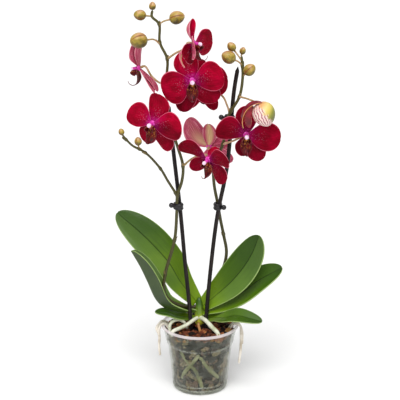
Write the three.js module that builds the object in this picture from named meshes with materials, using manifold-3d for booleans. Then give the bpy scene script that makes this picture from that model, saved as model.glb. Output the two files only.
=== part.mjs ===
// A moth orchid with two flower spikes, in a clear grower's pot filled with bark.
// Millimetres, +Z up. The origin is under the middle of the pot's base, and the flowers face -Y.
import * as THREE from 'three';
import { mergeVertices } from 'three/addons/utils/BufferGeometryUtils.js';
import Module from 'manifold-3d';

const wasm = await Module();
wasm.setup();

// Driving dimensions
const gap = 0.3; // air between neighbours
const potHeight = 105;
const baseRadius = 42;
const stepHeight = 74; // where the pot's wall steps out into its collar
const stepRadius = 50;
const collarHeight = 90;
const collarRadius = 55;
const neckRadius = 57; // just under the rim
const rimRadius = 60;
const rimLip = 3.4; // width of the rolled rim's flat top
const potWall = 1.6;
const floorThickness = 2;
const drainHoles = 8;
const drainCircle = 31;
const drainRadius = 3.2;
const barkRim = 90; // height of the bark beside the wall
const barkCrown = 97; // height of the bark in the middle
const barkClearance = 1; // between the bark and the pot's wall
const barkChips = 15;
const crownFoot = 94;
const crownHeight = 146;
const crownRadius = 7;
const crownPlace = [-1.5, 3, 0];
const leafThickness = 2;
const tepalThickness = 1;
const lipThickness = 0.9;
const stakeRadius = 3.1;
const stemRadius = 2.4;
const stalkRadius = 1.25;
const hubRadius = 5;
const hubDepth = 2.4; // half the thickness of a bloom's middle
const airRootRadius = 1.8;
const wallRootRadius = 2.2;
const tipShare = 0.985; // blades stop just short of a sharp point
const tipCrowding = 1.35; // above 1, the rows of a blade lie closer together near its tip
const slack = 0.1; // edges shorter than this are closed up

const orchid = new THREE.Group();

// ---- solids ----

const vector = (point) => new THREE.Vector3(...point);
const radians = THREE.MathUtils.degToRad;

// A closed geometry as a solid that can be joined and cut.
function solid(geometry) {
  const loose = geometry.index ? geometry.toNonIndexed() : geometry.clone();
  loose.deleteAttribute('normal');
  loose.deleteAttribute('uv');
  const merged = mergeVertices(loose, 1e-3);
  const corners = merged.index.array;
  const triangles = [];
  for (let i = 0; i < corners.length; i += 3) {
    const [a, b, c] = corners.slice(i, i + 3);
    if (a !== b && b !== c && c !== a) triangles.push(a, b, c);
  }
  return new wasm.Manifold(new wasm.Mesh({
    numProp: 3,
    vertProperties: merged.attributes.position.array,
    triVerts: new Uint32Array(triangles),
  }));
}

const fuse = (parts) => parts.reduce((whole, part) => whole.add(part));
const cut = (body, tools) => tools.reduce((rest, tool) => rest.subtract(tool), body);

function surface(body) {
  const mesh = body.simplify(slack).getMesh();
  const geometry = new THREE.BufferGeometry();
  geometry.setAttribute('position', new THREE.BufferAttribute(mesh.vertProperties, mesh.numProp));
  geometry.setIndex(new THREE.BufferAttribute(mesh.triVerts, 1));
  geometry.computeVertexNormals();
  return geometry;
}

function finish(color, roughness, extras = {}) {
  return new THREE.MeshStandardMaterial({ color, roughness, metalness: 0, ...extras });
}

function addPiece(name, body, material) {
  const mesh = new THREE.Mesh(surface(body), material);
  mesh.name = name;
  orchid.add(mesh);
  return mesh;
}

function section(radius, sides) {
  const corners = [];
  for (let i = 0; i < sides; i += 1) {
    const angle = (2 * Math.PI * i) / sides;
    corners.push(new THREE.Vector2(radius * Math.cos(angle), radius * Math.sin(angle)));
  }
  return new THREE.Shape(corners);
}

// A round rod along a smooth curve through the points.
function rod(points, radius, sides = 6, stepsEach = 3) {
  const extrudePath = new THREE.CatmullRomCurve3(points.map(vector));
  const steps = stepsEach * (points.length - 1);
  return solid(new THREE.ExtrudeGeometry(section(radius, sides), { steps, extrudePath }));
}

function ball(center, radius, stretch = [1, 1, 1], detail = 8) {
  const sphere = new THREE.SphereGeometry(radius, detail, Math.ceil(0.7 * detail));
  sphere.scale(...stretch).translate(...center);
  return solid(sphere);
}

// How far along a blade its rows lie, for u from 0 at the root to 1 at the tip.
const rowReach = (u) => tipShare * (1 - Math.max(0, 1 - u) ** tipCrowding);

// A thin blade: place(u, v) gives its middle surface for u from 0 at the root to 1 at the tip and v from
// -1 to 1 across. Both faces are split into triangles alike.
function blade(rows, columns, thickness, place) {
  const grid = new THREE.PlaneGeometry(2, 1, columns, rows);
  const middle = grid.attributes.position;
  for (let i = 0; i < middle.count; i += 1) {
    middle.setXYZ(i, ...place(middle.getY(i) + 0.5, middle.getX(i)));
  }
  grid.computeVertexNormals();
  const { normal } = grid.attributes;
  const points = [];
  for (const side of [0.5, -0.5]) {
    for (let i = 0; i < middle.count; i += 1) {
      for (const axis of ['getX', 'getY', 'getZ']) {
        points.push(middle[axis](i) + side * thickness * normal[axis](i));
      }
    }
  }
  const front = Array.from(grid.index.array);
  const triangles = [...front];
  for (let i = 0; i < front.length; i += 3) {
    triangles.push(front[i] + middle.count, front[i + 2] + middle.count, front[i + 1] + middle.count);
  }
  const at = (row, column) => row * (columns + 1) + column;
  const edge = [];
  for (let i = 0; i < columns; i += 1) edge.push(at(rows, i));
  for (let i = rows; i > 0; i -= 1) edge.push(at(i, columns));
  for (let i = columns; i > 0; i -= 1) edge.push(at(0, i));
  for (let i = 0; i < rows; i += 1) edge.push(at(i, 0));
  edge.forEach((start, i) => {
    const end = edge[(i + 1) % edge.length];
    triangles.push(end, start, start + middle.count, end, start + middle.count, end + middle.count);
  });
  const closed = new THREE.BufferGeometry();
  closed.setAttribute('position', new THREE.Float32BufferAttribute(points, 3));
  closed.setIndex(triangles);
  return solid(closed);
}

// ---- pot ----

function potRadius(height) {
  return baseRadius + (stepRadius - baseRadius) * (height / stepHeight);
}

function pot() {
  const profile = [
    [0, 0], [baseRadius - 2.5, 0], [baseRadius, 3], [potRadius(9) + 0.7, 9], [potRadius(11), 11],
    [stepRadius, stepHeight], [stepRadius + 2, stepHeight + 2], [collarRadius, collarHeight],
    [neckRadius, potHeight - 5], [rimRadius, potHeight - 4], [rimRadius, potHeight - 1],
    [rimRadius - 1, potHeight], [rimRadius - rimLip, potHeight], [neckRadius - potWall, potHeight - 6],
    [collarRadius - potWall, collarHeight], [stepRadius + 2 - potWall, stepHeight + 3],
    [stepRadius - potWall, stepHeight], [baseRadius - potWall, 4], [baseRadius - 4, floorThickness],
    [0, floorThickness],
  ];
  const wall = new THREE.LatheGeometry(profile.map(([r, z]) => new THREE.Vector2(r, z)), 28);
  wall.rotateX(Math.PI / 2);
  const holes = [];
  for (let i = 0; i < drainHoles; i += 1) {
    const angle = (2 * Math.PI * (i + 0.5)) / drainHoles;
    const hole = new THREE.CylinderGeometry(drainRadius, drainRadius, 3 * floorThickness, 6);
    hole.rotateX(Math.PI / 2);
    hole.translate(drainCircle * Math.cos(angle), drainCircle * Math.sin(angle), floorThickness / 2);
    holes.push(solid(hole));
  }
  return cut(solid(wall), holes);
}

// ---- roots, stakes and stems: each is a list of points along its middle ----

const rimSeat = potHeight + gap + airRootRadius; // the middle of a root that lies over the rim

const surfaceRoots = {
  root_left: { radius: 2.9, path: [[-3, -1, 114], [-8, -14, 113], [-19, -22, 110.5], [-28, -24, 106],
    [-40, -31, 102.5], [-39.5, -31, 94]] },
  root_arch: { radius: 2.1, path: [[-22, -8, 90], [-24, -10, 104], [-31, -13, 112], [-40, -16, 109],
    [-45, -18, 88]] },
  root_right: { radius: 3.2, path: [[0, 0, 113], [6, -13, 112], [16, -28, 108], [27, -39, 100],
    [28, -40, 91]] },
  root_down: { radius: 2.1, path: [[-2.5, 0, 105], [-2, -13, 104.5], [1, -26, 98], [3, -31, 84]] },
};

const airRoots = {
  air_root_left: [
    { radius: airRootRadius, path: [[-40, 4, 88], [-50, 3, 103], [-58, 0.5, rimSeat + 0.4],
      [-63.5, -4, 104], [-67, -11, 100], [-64.5, -13, 93], [-63, -13, 88], [-63.5, -13, 72],
      [-62, -13, 55]] },
    { radius: airRootRadius, path: [[-46, -9, 96], [-53, -10, rimSeat - 0.5],
      [-58.5, -11, rimSeat + 0.3], [-62.9, -12.5, 101], [-63.3, -13, 90], [-63.2, -13, 82]] },
  ],
  air_root_right: [
    { radius: airRootRadius + 0.2, path: [[42, -8, 92], [50, -10, rimSeat - 1],
      [57.5, -11.5, rimSeat + 0.8], [63, -12.5, 103], [63.5, -13.5, 92], [63, -14, 66],
      [60.5, -14.5, 42]] },
    { radius: airRootRadius - 0.2, path: [[45, -1, 92], [52, -4, rimSeat - 1],
      [57.5, -6, rimSeat + 0.3], [63, -9.5, 102], [65.5, -12, 92], [65.3, -12.4, 74]] },
  ],
};

// Roots that show through the wall: angle round the pot from -Y, and height.
const wallRoots = {
  wall_root_left: [[[-38, 71], [-22, 57], [-8, 43], [2, 28], [7, 11]],
    [[-4, 68], [-13, 56], [-22, 42], [-32, 30]]],
  wall_root_right: [[[3, 63], [11, 50], [20, 40], [36, 30]]],
};

function wallRootPath(bends) {
  return bends.map(([turn, height]) => {
    const reach = potRadius(height) - potWall - wallRootRadius - 3 * gap;
    return [reach * Math.sin(radians(turn)), -reach * Math.cos(radians(turn)), height];
  });
}

const stakes = {
  stake_left: [[-12.5, -10, 45], [-15, -10.6, 120], [-22.8, -4.6, 205], [-30, 1, 289], [-39.5, 6, 376],
    [-47, 9, 452]],
  stake_right: [[7, -9, 45], [9.3, -7, 111], [16.3, -3, 195], [26, 0, 278], [40.8, 3, 358], [50, 7, 469],
    [56, 10, 508]],
};

const leftStem = [[-4, 3, 132], [-18.7, -2, 131.5], [-29, -12, 138], [-47, -21, 151], [-55, -23, 166],
  [-52.6, -18, 194], [-38.5, -11, 245], [-35, -6, 290], [-34, -5, 314], [-27.4, -4, 335],
  [-25.5, -3, 359], [-35.6, -3, 396], [-48, -3, 443], [-49, -2, 494], [-48, -3, 522],
  [-58.5, -4, 547], [-59.3, -6, 574], [-69.5, -10, 586], [-68.5, -10, 595]];
const leftBranch = [[-34, -5, 313], [-48, -8, 337], [-59, -13, 358], [-81, -21, 385], [-99, -30, 398],
  [-108, -36, 409], [-113, -39, 416.4]];
const rightStem = [[-1, 7, 126], [17, 27, 150], [34, 31, 178], [41, 29, 209], [36, 22, 243],
  [31, 12, 271], [27.5, 8.5, 293], [21, 8, 330], [21, 8, 357], [34, 3, 391], [42, -4, 436],
  [58, -5, 466], [62.7, -3, 495], [62, -1, 512], [60.5, 0, 526]];

// The swollen joints along the stems, each with its dry bract.
const stemJoints = {
  spike_left: [[-53, -20, 192], [-38.5, -11, 245], [-34, -5, 314], [-25.5, -3, 359], [-48, -3, 522],
    [-58.5, -4, 547], [-59.3, -6, 574], [-59, -13, 358], [-81, -21, 385], [-89.5, -25, 391],
    [-108, -36, 409]],
  spike_right: [[36, 22, 243], [34, 3, 391], [43.5, -4.5, 443], [58, -5, 466], [62, -1, 512]],
};

// ---- blooms: hub is the bloom's middle, and turn and nod aim it. Each tepal is a petal or a sepal with
// its direction in degrees, length and width, and whatever sets it apart from the common form ----

const blooms = {
  bloom_top: { hub: [-11, -36, 497], turn: 0, nod: 2, size: 47, spike: 'spike_left',
    stalk: [[-48, -3, 484], [-34, -8, 489], [-18, -19, 496]],
    tepals: [['sepal', 252, 50, 30], ['sepal', 322, 48, 33, { bow: -2 }], ['sepal', 102, 46, 36, { bow: 4 }],
      ['petal', 195, 46, 50, { bow: 3 }], ['petal', 7, 46, 45, { bow: 4 }]] },
  bloom_high: { hub: [-8.6, -44, 553], turn: 58, nod: 0, size: 40, spike: 'spike_left',
    stalk: [[-48, -3, 522], [-34, -10, 533], [-23, -19, 540]],
    tepals: [['sepal', 222, 27, 30, { bow: 2 }], ['sepal', 264, 30, 22],
      ['sepal', 240, 37, 7, { bow: -3, sag: -10 }],
      ['sepal', 84, 35, 16, { bow: 5, sag: -7, arch: -36 }],
      ['petal', 183, 38, 34, { bow: 1, lift: 35, depth: -1.6 }], ['petal', 357, 44, 39, { bow: -1 }]] },
  bloom_left: { hub: [-69.3, -46, 435.7], turn: -22, nod: 2, size: 45, spike: 'spike_left',
    stalk: [[-42, -3, 420], [-54, -18, 422], [-65, -28, 429]],
    tepals: [['sepal', 247, 34, 29, { bow: -2 }], ['sepal', 303, 47, 27, { bow: 2 }],
      ['sepal', 80, 45, 33, { bow: -5, widest: 0.64 }], ['petal', 157, 40, 40, { bow: -3 }],
      ['petal', 351, 48.5, 41, { bow: 4.5 }]] },
  bloom_low: { hub: [11.8, -36, 378.5], turn: -34, nod: 17, size: 40, spike: 'spike_left',
    stalk: [[-25.5, -3, 359], [-12, -8, 372], [2, -12, 379]],
    tepals: [['sepal', 207, 34, 21, { lift: 25 }], ['sepal', 288, 45, 27, { bow: 5 }],
      ['sepal', 60, 24, 18, { lift: -62 }], ['petal', 160, 50, 27, { bow: -7.5 }],
      ['petal', 4, 40, 29, { bow: 6 }]] },
  bloom_right: { hub: [67.2, -36, 416], turn: 4, nod: 2, size: 47, spike: 'spike_right',
    stalk: [[35, 2, 392], [50, -9, 400], [64, -20, 411]],
    tepals: [['sepal', 263, 34, 24, { bow: -1 }], ['sepal', 301, 47, 30], ['sepal', 89, 43, 31.5],
      ['petal', 168, 46, 35.5, { bow: -6 }], ['petal', 354, 51, 44]] },
  bloom_back: { hub: [14, 40, 377], turn: 166, nod: 0, size: 46, spike: 'spike_right',
    stalk: [[29, 5, 378], [21, 14, 380]],
    tepals: [['sepal', 205, 42, 20], ['sepal', 270, 30, 22], ['sepal', 90, 37, 22, { bow: 2 }],
      ['petal', 50, 54, 34, { bow: -5.5, claw: 0.34, widest: 0.5 }], ['petal', 165, 34, 26]] },
  bloom_behind: { hub: [2, 14, 480], turn: 15, nod: 0, size: 45, spike: 'spike_right',
    stalk: [[43.5, -4.5, 443], [40, 14, 449], [34, 30, 458], [12, 34, 474]],
    tepals: [['sepal', 240, 40, 26], ['sepal', 300, 47, 21, { bow: 1 }], ['sepal', 95, 38, 28],
      ['petal', 176, 42, 44], ['petal', 10, 40, 46]] },
  bloom_side: { hub: [-89.6, 6, 507.3], turn: -112, nod: 15, size: 42, spike: 'spike_left',
    stalk: [[-49, -2, 486], [-58, -3, 486], [-71, -1, 496]],
    tepals: [['sepal', 260, 44, 14, { lift: -18 }], ['sepal', 274, 44, 14, { lift: -16 }],
      ['sepal', 90, 38, 24, { lift: -12 }], ['petal', 75, 38, 27, { lift: -12 }],
      ['petal', 105, 38, 27, { lift: -12 }]] },
};

function bloomMatrix({ hub, turn, nod }) {
  const aim = new THREE.Euler(Math.PI / 2 + radians(nod), 0, radians(turn), 'ZXY');
  return new THREE.Matrix4().makeRotationFromEuler(aim).setPosition(...hub);
}

// The outline of a blade: half its width along its length, as a share of the widest.
function outline(u, claw, widest, blunt = 2) {
  if (u < widest) return claw + (1 - claw) * Math.sin((Math.PI / 2) * (u / widest));
  return (1 - ((u - widest) / (1 - widest)) ** blunt) ** (1 / blunt);
}

// The common forms. claw is the width of the foot and widest where the blade is broadest, as shares. cup
// raises the tip, arch drops the edges, sag bends the middle, bow curves it sideways and lift tilts it.
const tepalForms = {
  petal: { claw: 0.16, widest: 0.58, depth: 0.9, cup: 3, arch: 8, rows: 5, columns: 3 },
  sepal: { claw: 0.3, widest: 0.52, depth: -1.4, cup: -3, arch: 9, rows: 4, columns: 2 },
};
const tepalBluntness = 2.2;

// One petal or sepal, in the bloom's own frame: it starts beside the hub and points along turn.
function tepal([kind, turn, length, width, bend]) {
  const { claw, widest, depth, cup, arch, rows, columns, bow, lift, sag } = {
    bow: 0, lift: 0, sag: 0, ...tepalForms[kind], ...bend,
  };
  const outward = new THREE.Vector3(Math.cos(radians(turn)), Math.sin(radians(turn)), 0);
  const across = new THREE.Vector3(-outward.y, outward.x, 0);
  const along = outward.clone().multiplyScalar(Math.cos(radians(lift)));
  along.z = Math.sin(radians(lift));
  const face = new THREE.Vector3().crossVectors(along, across);
  const start = outward.clone().multiplyScalar(3).setZ(depth);
  return blade(rows, columns, tepalThickness, (u, v) => {
    const reach = rowReach(u);
    const half = (width / 2) * outline(reach, claw, widest, tepalBluntness);
    const rise = cup * Math.sin((Math.PI / 2) * reach) ** 2 + sag * Math.sin(Math.PI * reach);
    const point = start.clone().addScaledVector(along, (length - 3) * reach);
    point.addScaledVector(across, bow * Math.sin(Math.PI * reach) - v * half);
    point.addScaledVector(face, rise - arch * (v * half / width) ** 2);
    return point.toArray();
  });
}

function bloomPetals({ tepals }) {
  const hub = new THREE.CylinderGeometry(hubRadius, hubRadius - 1, 2 * hubDepth, 6);
  return fuse([solid(hub.rotateX(Math.PI / 2)), ...tepals.map(tepal)]);
}

// The lip, in the bloom's own frame: its middle lobe hangs down and curls up at the tip, its side lobes
// stand beside the column like wings.
const lipForm = {
  middle: [[0, -1.2, 1.6], [0, -10, 2.2], [0, -19, 4.5], [0, -25, 9.5], [0, -26, 16], [0, -22, 21.5],
    [0, -17, 22.5]],
  middleHalf: 8,
  wingSpread: 3.6,
  wingFlare: 3,
  wingDrop: 11,
  wingHalf: 5.2,
  wingForward: 6.6,
};

// Half the width of the middle lobe along its length: a waist, a broad belly and a narrow tip.
function lobeOutline(u) {
  const belly = Math.sin(Math.PI * Math.min(u / 0.68, 1)) ** 1.2;
  return 0.3 * (1 - u) + 0.74 * belly + 0.12 * Math.sqrt(1 - u);
}

function lip({ size }) {
  const scale = size / 46;
  const foot = hubDepth + 2 * gap;
  const profile = [[0, 0], [3, 0], [2.7, 4], [3.2, 8.5], [2.3, 11.2], [0, 12]];
  const column = new THREE.LatheGeometry(profile.map(([r, z]) => new THREE.Vector2(r, z)), 6);
  const curve = new THREE.CatmullRomCurve3(lipForm.middle.map(vector));
  const middle = blade(7, 2, lipThickness, (u, v) => {
    const along = rowReach(u);
    const half = lipForm.middleHalf * lobeOutline(along);
    const { y, z } = curve.getPointAt(along);
    const tangent = curve.getTangentAt(along);
    const fall = 0.3 * half * v * v;
    return [v * half, y - tangent.z * fall, z + tangent.y * fall];
  });
  const wing = (side) => blade(3, 2, lipThickness, (u, v) => {
    const half = lipForm.wingHalf * outline(rowReach(u), 0.45, 0.5);
    const flare = lipForm.wingFlare * Math.sin(Math.PI * u) * (0.6 + 0.4 * v);
    const forward = lipForm.wingForward * (0.6 + 0.4 * Math.min(3 * u, 1));
    return [side * (lipForm.wingSpread * Math.min(4 * u, 1) + flare), -0.6 - lipForm.wingDrop * u,
      forward + half * v];
  });
  const parts = [solid(column.rotateX(Math.PI / 2)), middle, wing(1), wing(-1)];
  return fuse(parts).scale(scale).translate([0, 0, foot]);
}

// ---- buds ----

const buds = {
  bud_left_tip: { at: [-68.4, -10, 601], radius: 5.2, spike: 'spike_left', stalk: [[-68.5, -10, 595]] },
  bud_left_far: { at: [-86.5, -11, 588], radius: 7.8, spike: 'spike_left',
    stalk: [[-69.5, -10, 586], [-74, -10, 586.5]] },
  bud_left_near: { at: [-33.4, -9, 584], radius: 9.8, spike: 'spike_left',
    stalk: [[-59.3, -6, 574], [-52, -7, 578.5]] },
  bud_left_big: { at: [-88, -30, 554.5], radius: 11.6, spike: 'spike_left',
    stalk: [[-58.5, -4, 544.5], [-67, -14, 553]] },
  bud_branch_tip: { at: [-114.6, -39.6, 421.6], radius: 4.4, spike: 'spike_left',
    stalk: [[-113, -39, 416.4]] },
  bud_branch_low: { at: [-91, -27, 404], radius: 5.6, spike: 'spike_left',
    stalk: [[-90, -25.5, 392]] },
  bud_right_tip: { at: [62.4, 0, 533.5], radius: 4.8, spike: 'spike_right', stalk: [[60.5, 0, 526]] },
  bud_right_high: { at: [46, -3, 540], radius: 6.4, spike: 'spike_right',
    stalk: [[61.5, -0.5, 518], [55, -2, 528]] },
  bud_right_near: { at: [41.6, -14, 527], radius: 9.6, spike: 'spike_right',
    stalk: [[62, -1, 512], [56, -8, 519]] },
  bud_right_low: { at: [72.5, -8, 507], radius: 8.6, spike: 'spike_right', stalk: [[62.7, -3, 496]] },
};
const budStretch = 1.14; // a bud is a little longer than wide

function budGap({ radius }) {
  return budStretch * radius + gap;
}

// From the last point of the stalk to the bud's middle.
function budDirection({ at, stalk }) {
  return vector(at).sub(vector(stalk[stalk.length - 1])).normalize();
}

function bud({ radius }) {
  const profile = [];
  for (let i = 0; i <= 6; i += 1) {
    const angle = (Math.PI * i) / 6;
    const height = -Math.cos(angle);
    const round = Math.sin(angle) * (1 - 0.1 * height);
    profile.push(new THREE.Vector2(i % 6 === 0 ? 0 : radius * round, budStretch * radius * height));
  }
  return solid(new THREE.LatheGeometry(profile, 8));
}

// The opening bud: a swollen egg with one sepal already bent away, and a dark petal showing between. The
// sepal's angles are in degrees from +X towards +Z, and its reach is a share of the egg's radius.
const openingBud = {
  at: [92, -57, 453],
  radius: 16.8,
  stalk: [[58, -5, 466], [70, -24, 467], [80, -41, 466], [87, -51, 459]],
  sepal: { from: 98, turn: 117, reach: 1, flare: 1.16, half: 7, tilt: 0.22, rows: 7 },
  heart: { path: [[-16.4, -2, 12], [-22.3, -2, 0], [-22.4, -3, -12], [-20.4, -3, -20]], half: 5, rows: 5 },
};

function egg(at, extra = 0) {
  return ball(at, openingBud.radius + extra, [1, 0.95, 1.16], 10);
}

function openSepal({ from, turn, reach, flare, half, tilt, rows }) {
  return blade(rows, 2, tepalThickness, (u, v) => {
    const angle = radians(from + turn * u);
    const across = half * v * outline(tipShare * u, 0.5, 0.5);
    const out = openingBud.radius * (reach + flare * u) + tilt * across * Math.min(3 * u, 1);
    return [out * Math.cos(angle), across - 2, out * Math.sin(angle)];
  });
}

function heartPetal({ path, half, rows }) {
  const curve = new THREE.CatmullRomCurve3(path.map(vector));
  return blade(rows, 2, tepalThickness, (u, v) => {
    const along = rowReach(u);
    const point = curve.getPointAt(along);
    return [point.x + v * half * outline(along, 0.3, 0.55), point.y, point.z];
  });
}

// ---- spikes: a stem, its joints, and the stalks of its blooms and buds, grown together ----

function bloomStalk(bloom) {
  const matrix = bloomMatrix(bloom);
  const behind = (depth) => new THREE.Vector3(0, 0, -depth).applyMatrix4(matrix).toArray();
  return [...bloom.stalk, behind(10), behind(hubDepth + gap)];
}

function budStalk(item) {
  const direction = budDirection(item);
  const end = vector(item.at).addScaledVector(direction, -budGap(item));
  const start = vector(item.stalk[0]);
  if (start.distanceTo(end) < 0.6) return null;
  return [...item.stalk, end.toArray()];
}

function spike(name, stems) {
  const parts = stems.map(([points, radius]) => rod(points, radius, 5));
  for (const point of stemJoints[name]) parts.push(ball(point, stemRadius + 1.1, [1, 1, 0.8], 4));
  for (const bloom of Object.values(blooms)) {
    if (bloom.spike === name) parts.push(rod(bloomStalk(bloom), stalkRadius, 4, 2));
  }
  for (const item of Object.values(buds)) {
    const stalk = item.spike === name ? budStalk(item) : null;
    if (stalk) parts.push(rod(stalk, stalkRadius, 4, 2));
  }
  if (name === 'spike_right') {
    parts.push(rod(openingBud.stalk, stalkRadius, 4, 2));
  }
  return cut(fuse(parts), [egg(openingBud.at, gap)]);
}

// ---- leaves ----

// spine: points along the keel. facing: where the upper side looks. fold: how far each half rises.
const leaves = {
  leaf_left_big: { spine: [[-5, 5, 137], [-31, 14, 168], [-47, 21, 194], [-68, 29, 217],
    [-93, 38, 240], [-129, 50, 268]], facing: [0.4, -0.85, 0.35], half: 29, fold: 14 },
  leaf_left_folded: { spine: [[-4, 4, 119], [-22, 3.4, 121], [-36, -8.6, 127.4], [-57, -19, 140],
    [-68, -22, 154], [-79, -24, 181], [-90, -24, 206], [-104, -24, 232]],
    facing: [0.75, -0.1, 0.62], half: 26, fold: 64 },
  leaf_left_low: { spine: [[-4, 2, 111], [-22, -1, 114.5], [-36, -10, 120], [-52, -18, 129],
    [-69, -24, 132]], facing: [0.1, -0.4, 0.9], half: 10, fold: 12 },
  leaf_right_big: { spine: [[3.5, 4, 130], [33, 9, 154], [48, 11, 168], [66, 13, 190], [80, 13, 214],
    [91, 12, 244]], facing: [-0.35, -0.85, 0.4], half: 28, fold: 18 },
  leaf_right_long: { spine: [[2, 4, 122], [36, 12, 132], [62, 17, 145], [92, 16, 169], [127, 10, 192]],
    facing: [-0.3, -0.6, 0.75], half: 24, fold: 14 },
  leaf_right_low: { spine: [[1, 4, 109], [20, 2, 112], [38, -14, 119], [58, -34, 130], [94, -50, 127]],
    facing: [-0.05, -0.5, 0.85], half: 14, fold: 14 },
};

function leaf({ spine, facing, half, fold }) {
  const curve = new THREE.CatmullRomCurve3(spine.map(vector));
  const upper = vector(facing).normalize();
  return blade(10, 4, leafThickness, (u, v) => {
    const along = rowReach(u);
    const tangent = curve.getTangentAt(along);
    const lift = upper.clone().addScaledVector(tangent, -upper.dot(tangent)).normalize();
    const across = new THREE.Vector3().crossVectors(tangent, lift);
    const width = half * outline(along, 0.22, 0.58);
    const point = curve.getPointAt(along);
    point.addScaledVector(across, v * width * Math.cos(radians(fold)));
    point.addScaledVector(lift, Math.abs(v) * width * Math.sin(radians(fold)));
    return point.toArray();
  });
}

// ---- bark and crown ----

function crown(extra = 0) {
  const profile = [[0, crownFoot - extra], [5 + extra, crownFoot - extra], [crownRadius + extra, 104],
    [crownRadius + extra, 122], [5.5 + extra, 138], [0, crownHeight + 2 * extra]];
  const stem = new THREE.LatheGeometry(profile.map(([r, z]) => new THREE.Vector2(r, z)), 12);
  return solid(stem.rotateX(Math.PI / 2).translate(...crownPlace));
}

// A repeatable stream of numbers between 0 and 1.
function seeded(seed) {
  const multiplier = 16807;
  const modulus = 2147483647;
  let state = seed;
  return () => {
    state = (state * multiplier) % modulus;
    return state / modulus;
  };
}

function chip(random) {
  const angle = 2 * Math.PI * random();
  const reach = 46 * Math.sqrt(random());
  const box = new THREE.BoxGeometry(9 + 12 * random(), 6 + 8 * random(), 5 + 4 * random());
  box.rotateX(0.7 * random()).rotateY(0.6 * random() - 0.3).rotateZ(Math.PI * random());
  const level = barkCrown - (barkCrown - barkRim) * (reach / stepRadius) - 2;
  box.translate(reach * Math.cos(angle), reach * Math.sin(angle), level);
  return solid(box);
}

function bark(holes) {
  const side = (height) => potRadius(height) - potWall - barkClearance;
  const profile = [[0, floorThickness + gap], [baseRadius - 7, floorThickness + gap], [side(9), 9],
    [side(stepHeight), stepHeight], [side(stepHeight) + 1.5, stepHeight + 4],
    [collarRadius - potWall - barkClearance, barkRim], [0, barkCrown]];
  const heap = new THREE.LatheGeometry(profile.map(([r, z]) => new THREE.Vector2(r, z)), 20);
  const random = seeded(7);
  const parts = [solid(heap.rotateX(Math.PI / 2))];
  for (let i = 0; i < barkChips; i += 1) parts.push(chip(random));
  const room = [[0, -1], [baseRadius, -1], [side(9) + 1, 9], [side(stepHeight), stepHeight],
    [side(stepHeight) + 1, stepHeight + 3], [collarRadius - 3, barkRim],
    [collarRadius - 1.5, potHeight], [0, potHeight]];
  const inside = new THREE.LatheGeometry(room.map(([r, z]) => new THREE.Vector2(r, z)), 20);
  return cut(fuse(parts).intersect(solid(inside.rotateX(Math.PI / 2))), holes);
}

// ---- clips: a block round stake and stem with a ball-ended tab to squeeze ----

const clips = {
  clip_left: { middle: [-32.8, -2.4, 296], turn: -45, tab: [-43, -8, 299] },
  clip_right_low: { middle: [27, 4, 294], turn: 85, tab: [36, -3, 294] },
  clip_right_high: { middle: [44, 0.5, 432], turn: -50, tab: [31.5, -2, 434] },
};
const clipHeight = 10.5;
const clipRadius = 6.5;
const tabRadius = 3.8;

function clip({ middle, turn, tab }, tools) {
  const block = new THREE.CylinderGeometry(clipRadius, clipRadius, clipHeight, 8);
  block.rotateX(Math.PI / 2).scale(1.3, 1, 1).rotateZ(radians(turn)).translate(...middle);
  const parts = [solid(block), rod([middle, tab], tabRadius / 2, 6, 2), ball(tab, tabRadius, [1, 1, 1], 5)];
  return cut(fuse(parts), tools);
}

// ---- assembly ----

// The room a rod needs in what it passes through.
function clear(points, radius, sides, stepsEach) {
  return rod(points, radius + gap, sides, stepsEach);
}

const clearCrown = crown(gap);

addPiece('pot', pot(), finish(0xb9b8b2, 0.12, { transparent: true, opacity: 0.45 }));

const barkHoles = [
  clearCrown,
  ...Object.values(stakes).map((points) => clear(points, stakeRadius, 8, 2)),
  ...Object.values(surfaceRoots).map(({ path, radius }) => clear(path, radius)),
  ...Object.values(airRoots).flat().map(({ path, radius }) => clear(path, radius, 5, 2)),
  ...Object.values(wallRoots).flat().map((bends) => clear(wallRootPath(bends), wallRootRadius, 5, 2)),
];
addPiece('bark', bark(barkHoles), finish(0x6b3c26, 0.9));
addPiece('crown', crown(), finish(0xa9b43a, 0.5));

for (const [name, { path, radius }] of Object.entries(surfaceRoots)) {
  addPiece(name, cut(rod(path, radius), [clearCrown]), finish(0xd8d8c0, 0.6));
}
for (const [name, strands] of Object.entries(airRoots)) {
  addPiece(name, fuse(strands.map(({ path, radius }) => rod(path, radius, 5, 2))), finish(0xdcd4c0, 0.8));
}
for (const [name, bends] of Object.entries(wallRoots)) {
  const strands = bends.map((strand) => rod(wallRootPath(strand), wallRootRadius, 5, 2));
  addPiece(name, fuse(strands), finish(0x7c8450, 0.7));
}
for (const [name, points] of Object.entries(stakes)) {
  addPiece(name, rod(points, stakeRadius, 8, 2), finish(0x2a2428, 0.4));
}
for (const [name, shape] of Object.entries(leaves)) {
  addPiece(name, cut(leaf(shape), [clearCrown]), finish(0x4a6a20, 0.4));
}

const stems = {
  spike_left: [[leftStem, stemRadius], [leftBranch, stemRadius - 0.3]],
  spike_right: [[rightStem, stemRadius]],
};
for (const [name, parts] of Object.entries(stems)) {
  addPiece(name, cut(spike(name, parts), [clearCrown]), finish(0x55501e, 0.55));
}

const throughClips = [
  ...Object.values(stakes).map((points) => clear(points, stakeRadius, 8, 2)),
  ...[leftStem, rightStem].map((points) => clear(points, stemRadius, 5)),
];
for (const [name, shape] of Object.entries(clips)) {
  addPiece(name, clip(shape, throughClips), finish(0x161416, 0.35));
}

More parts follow.
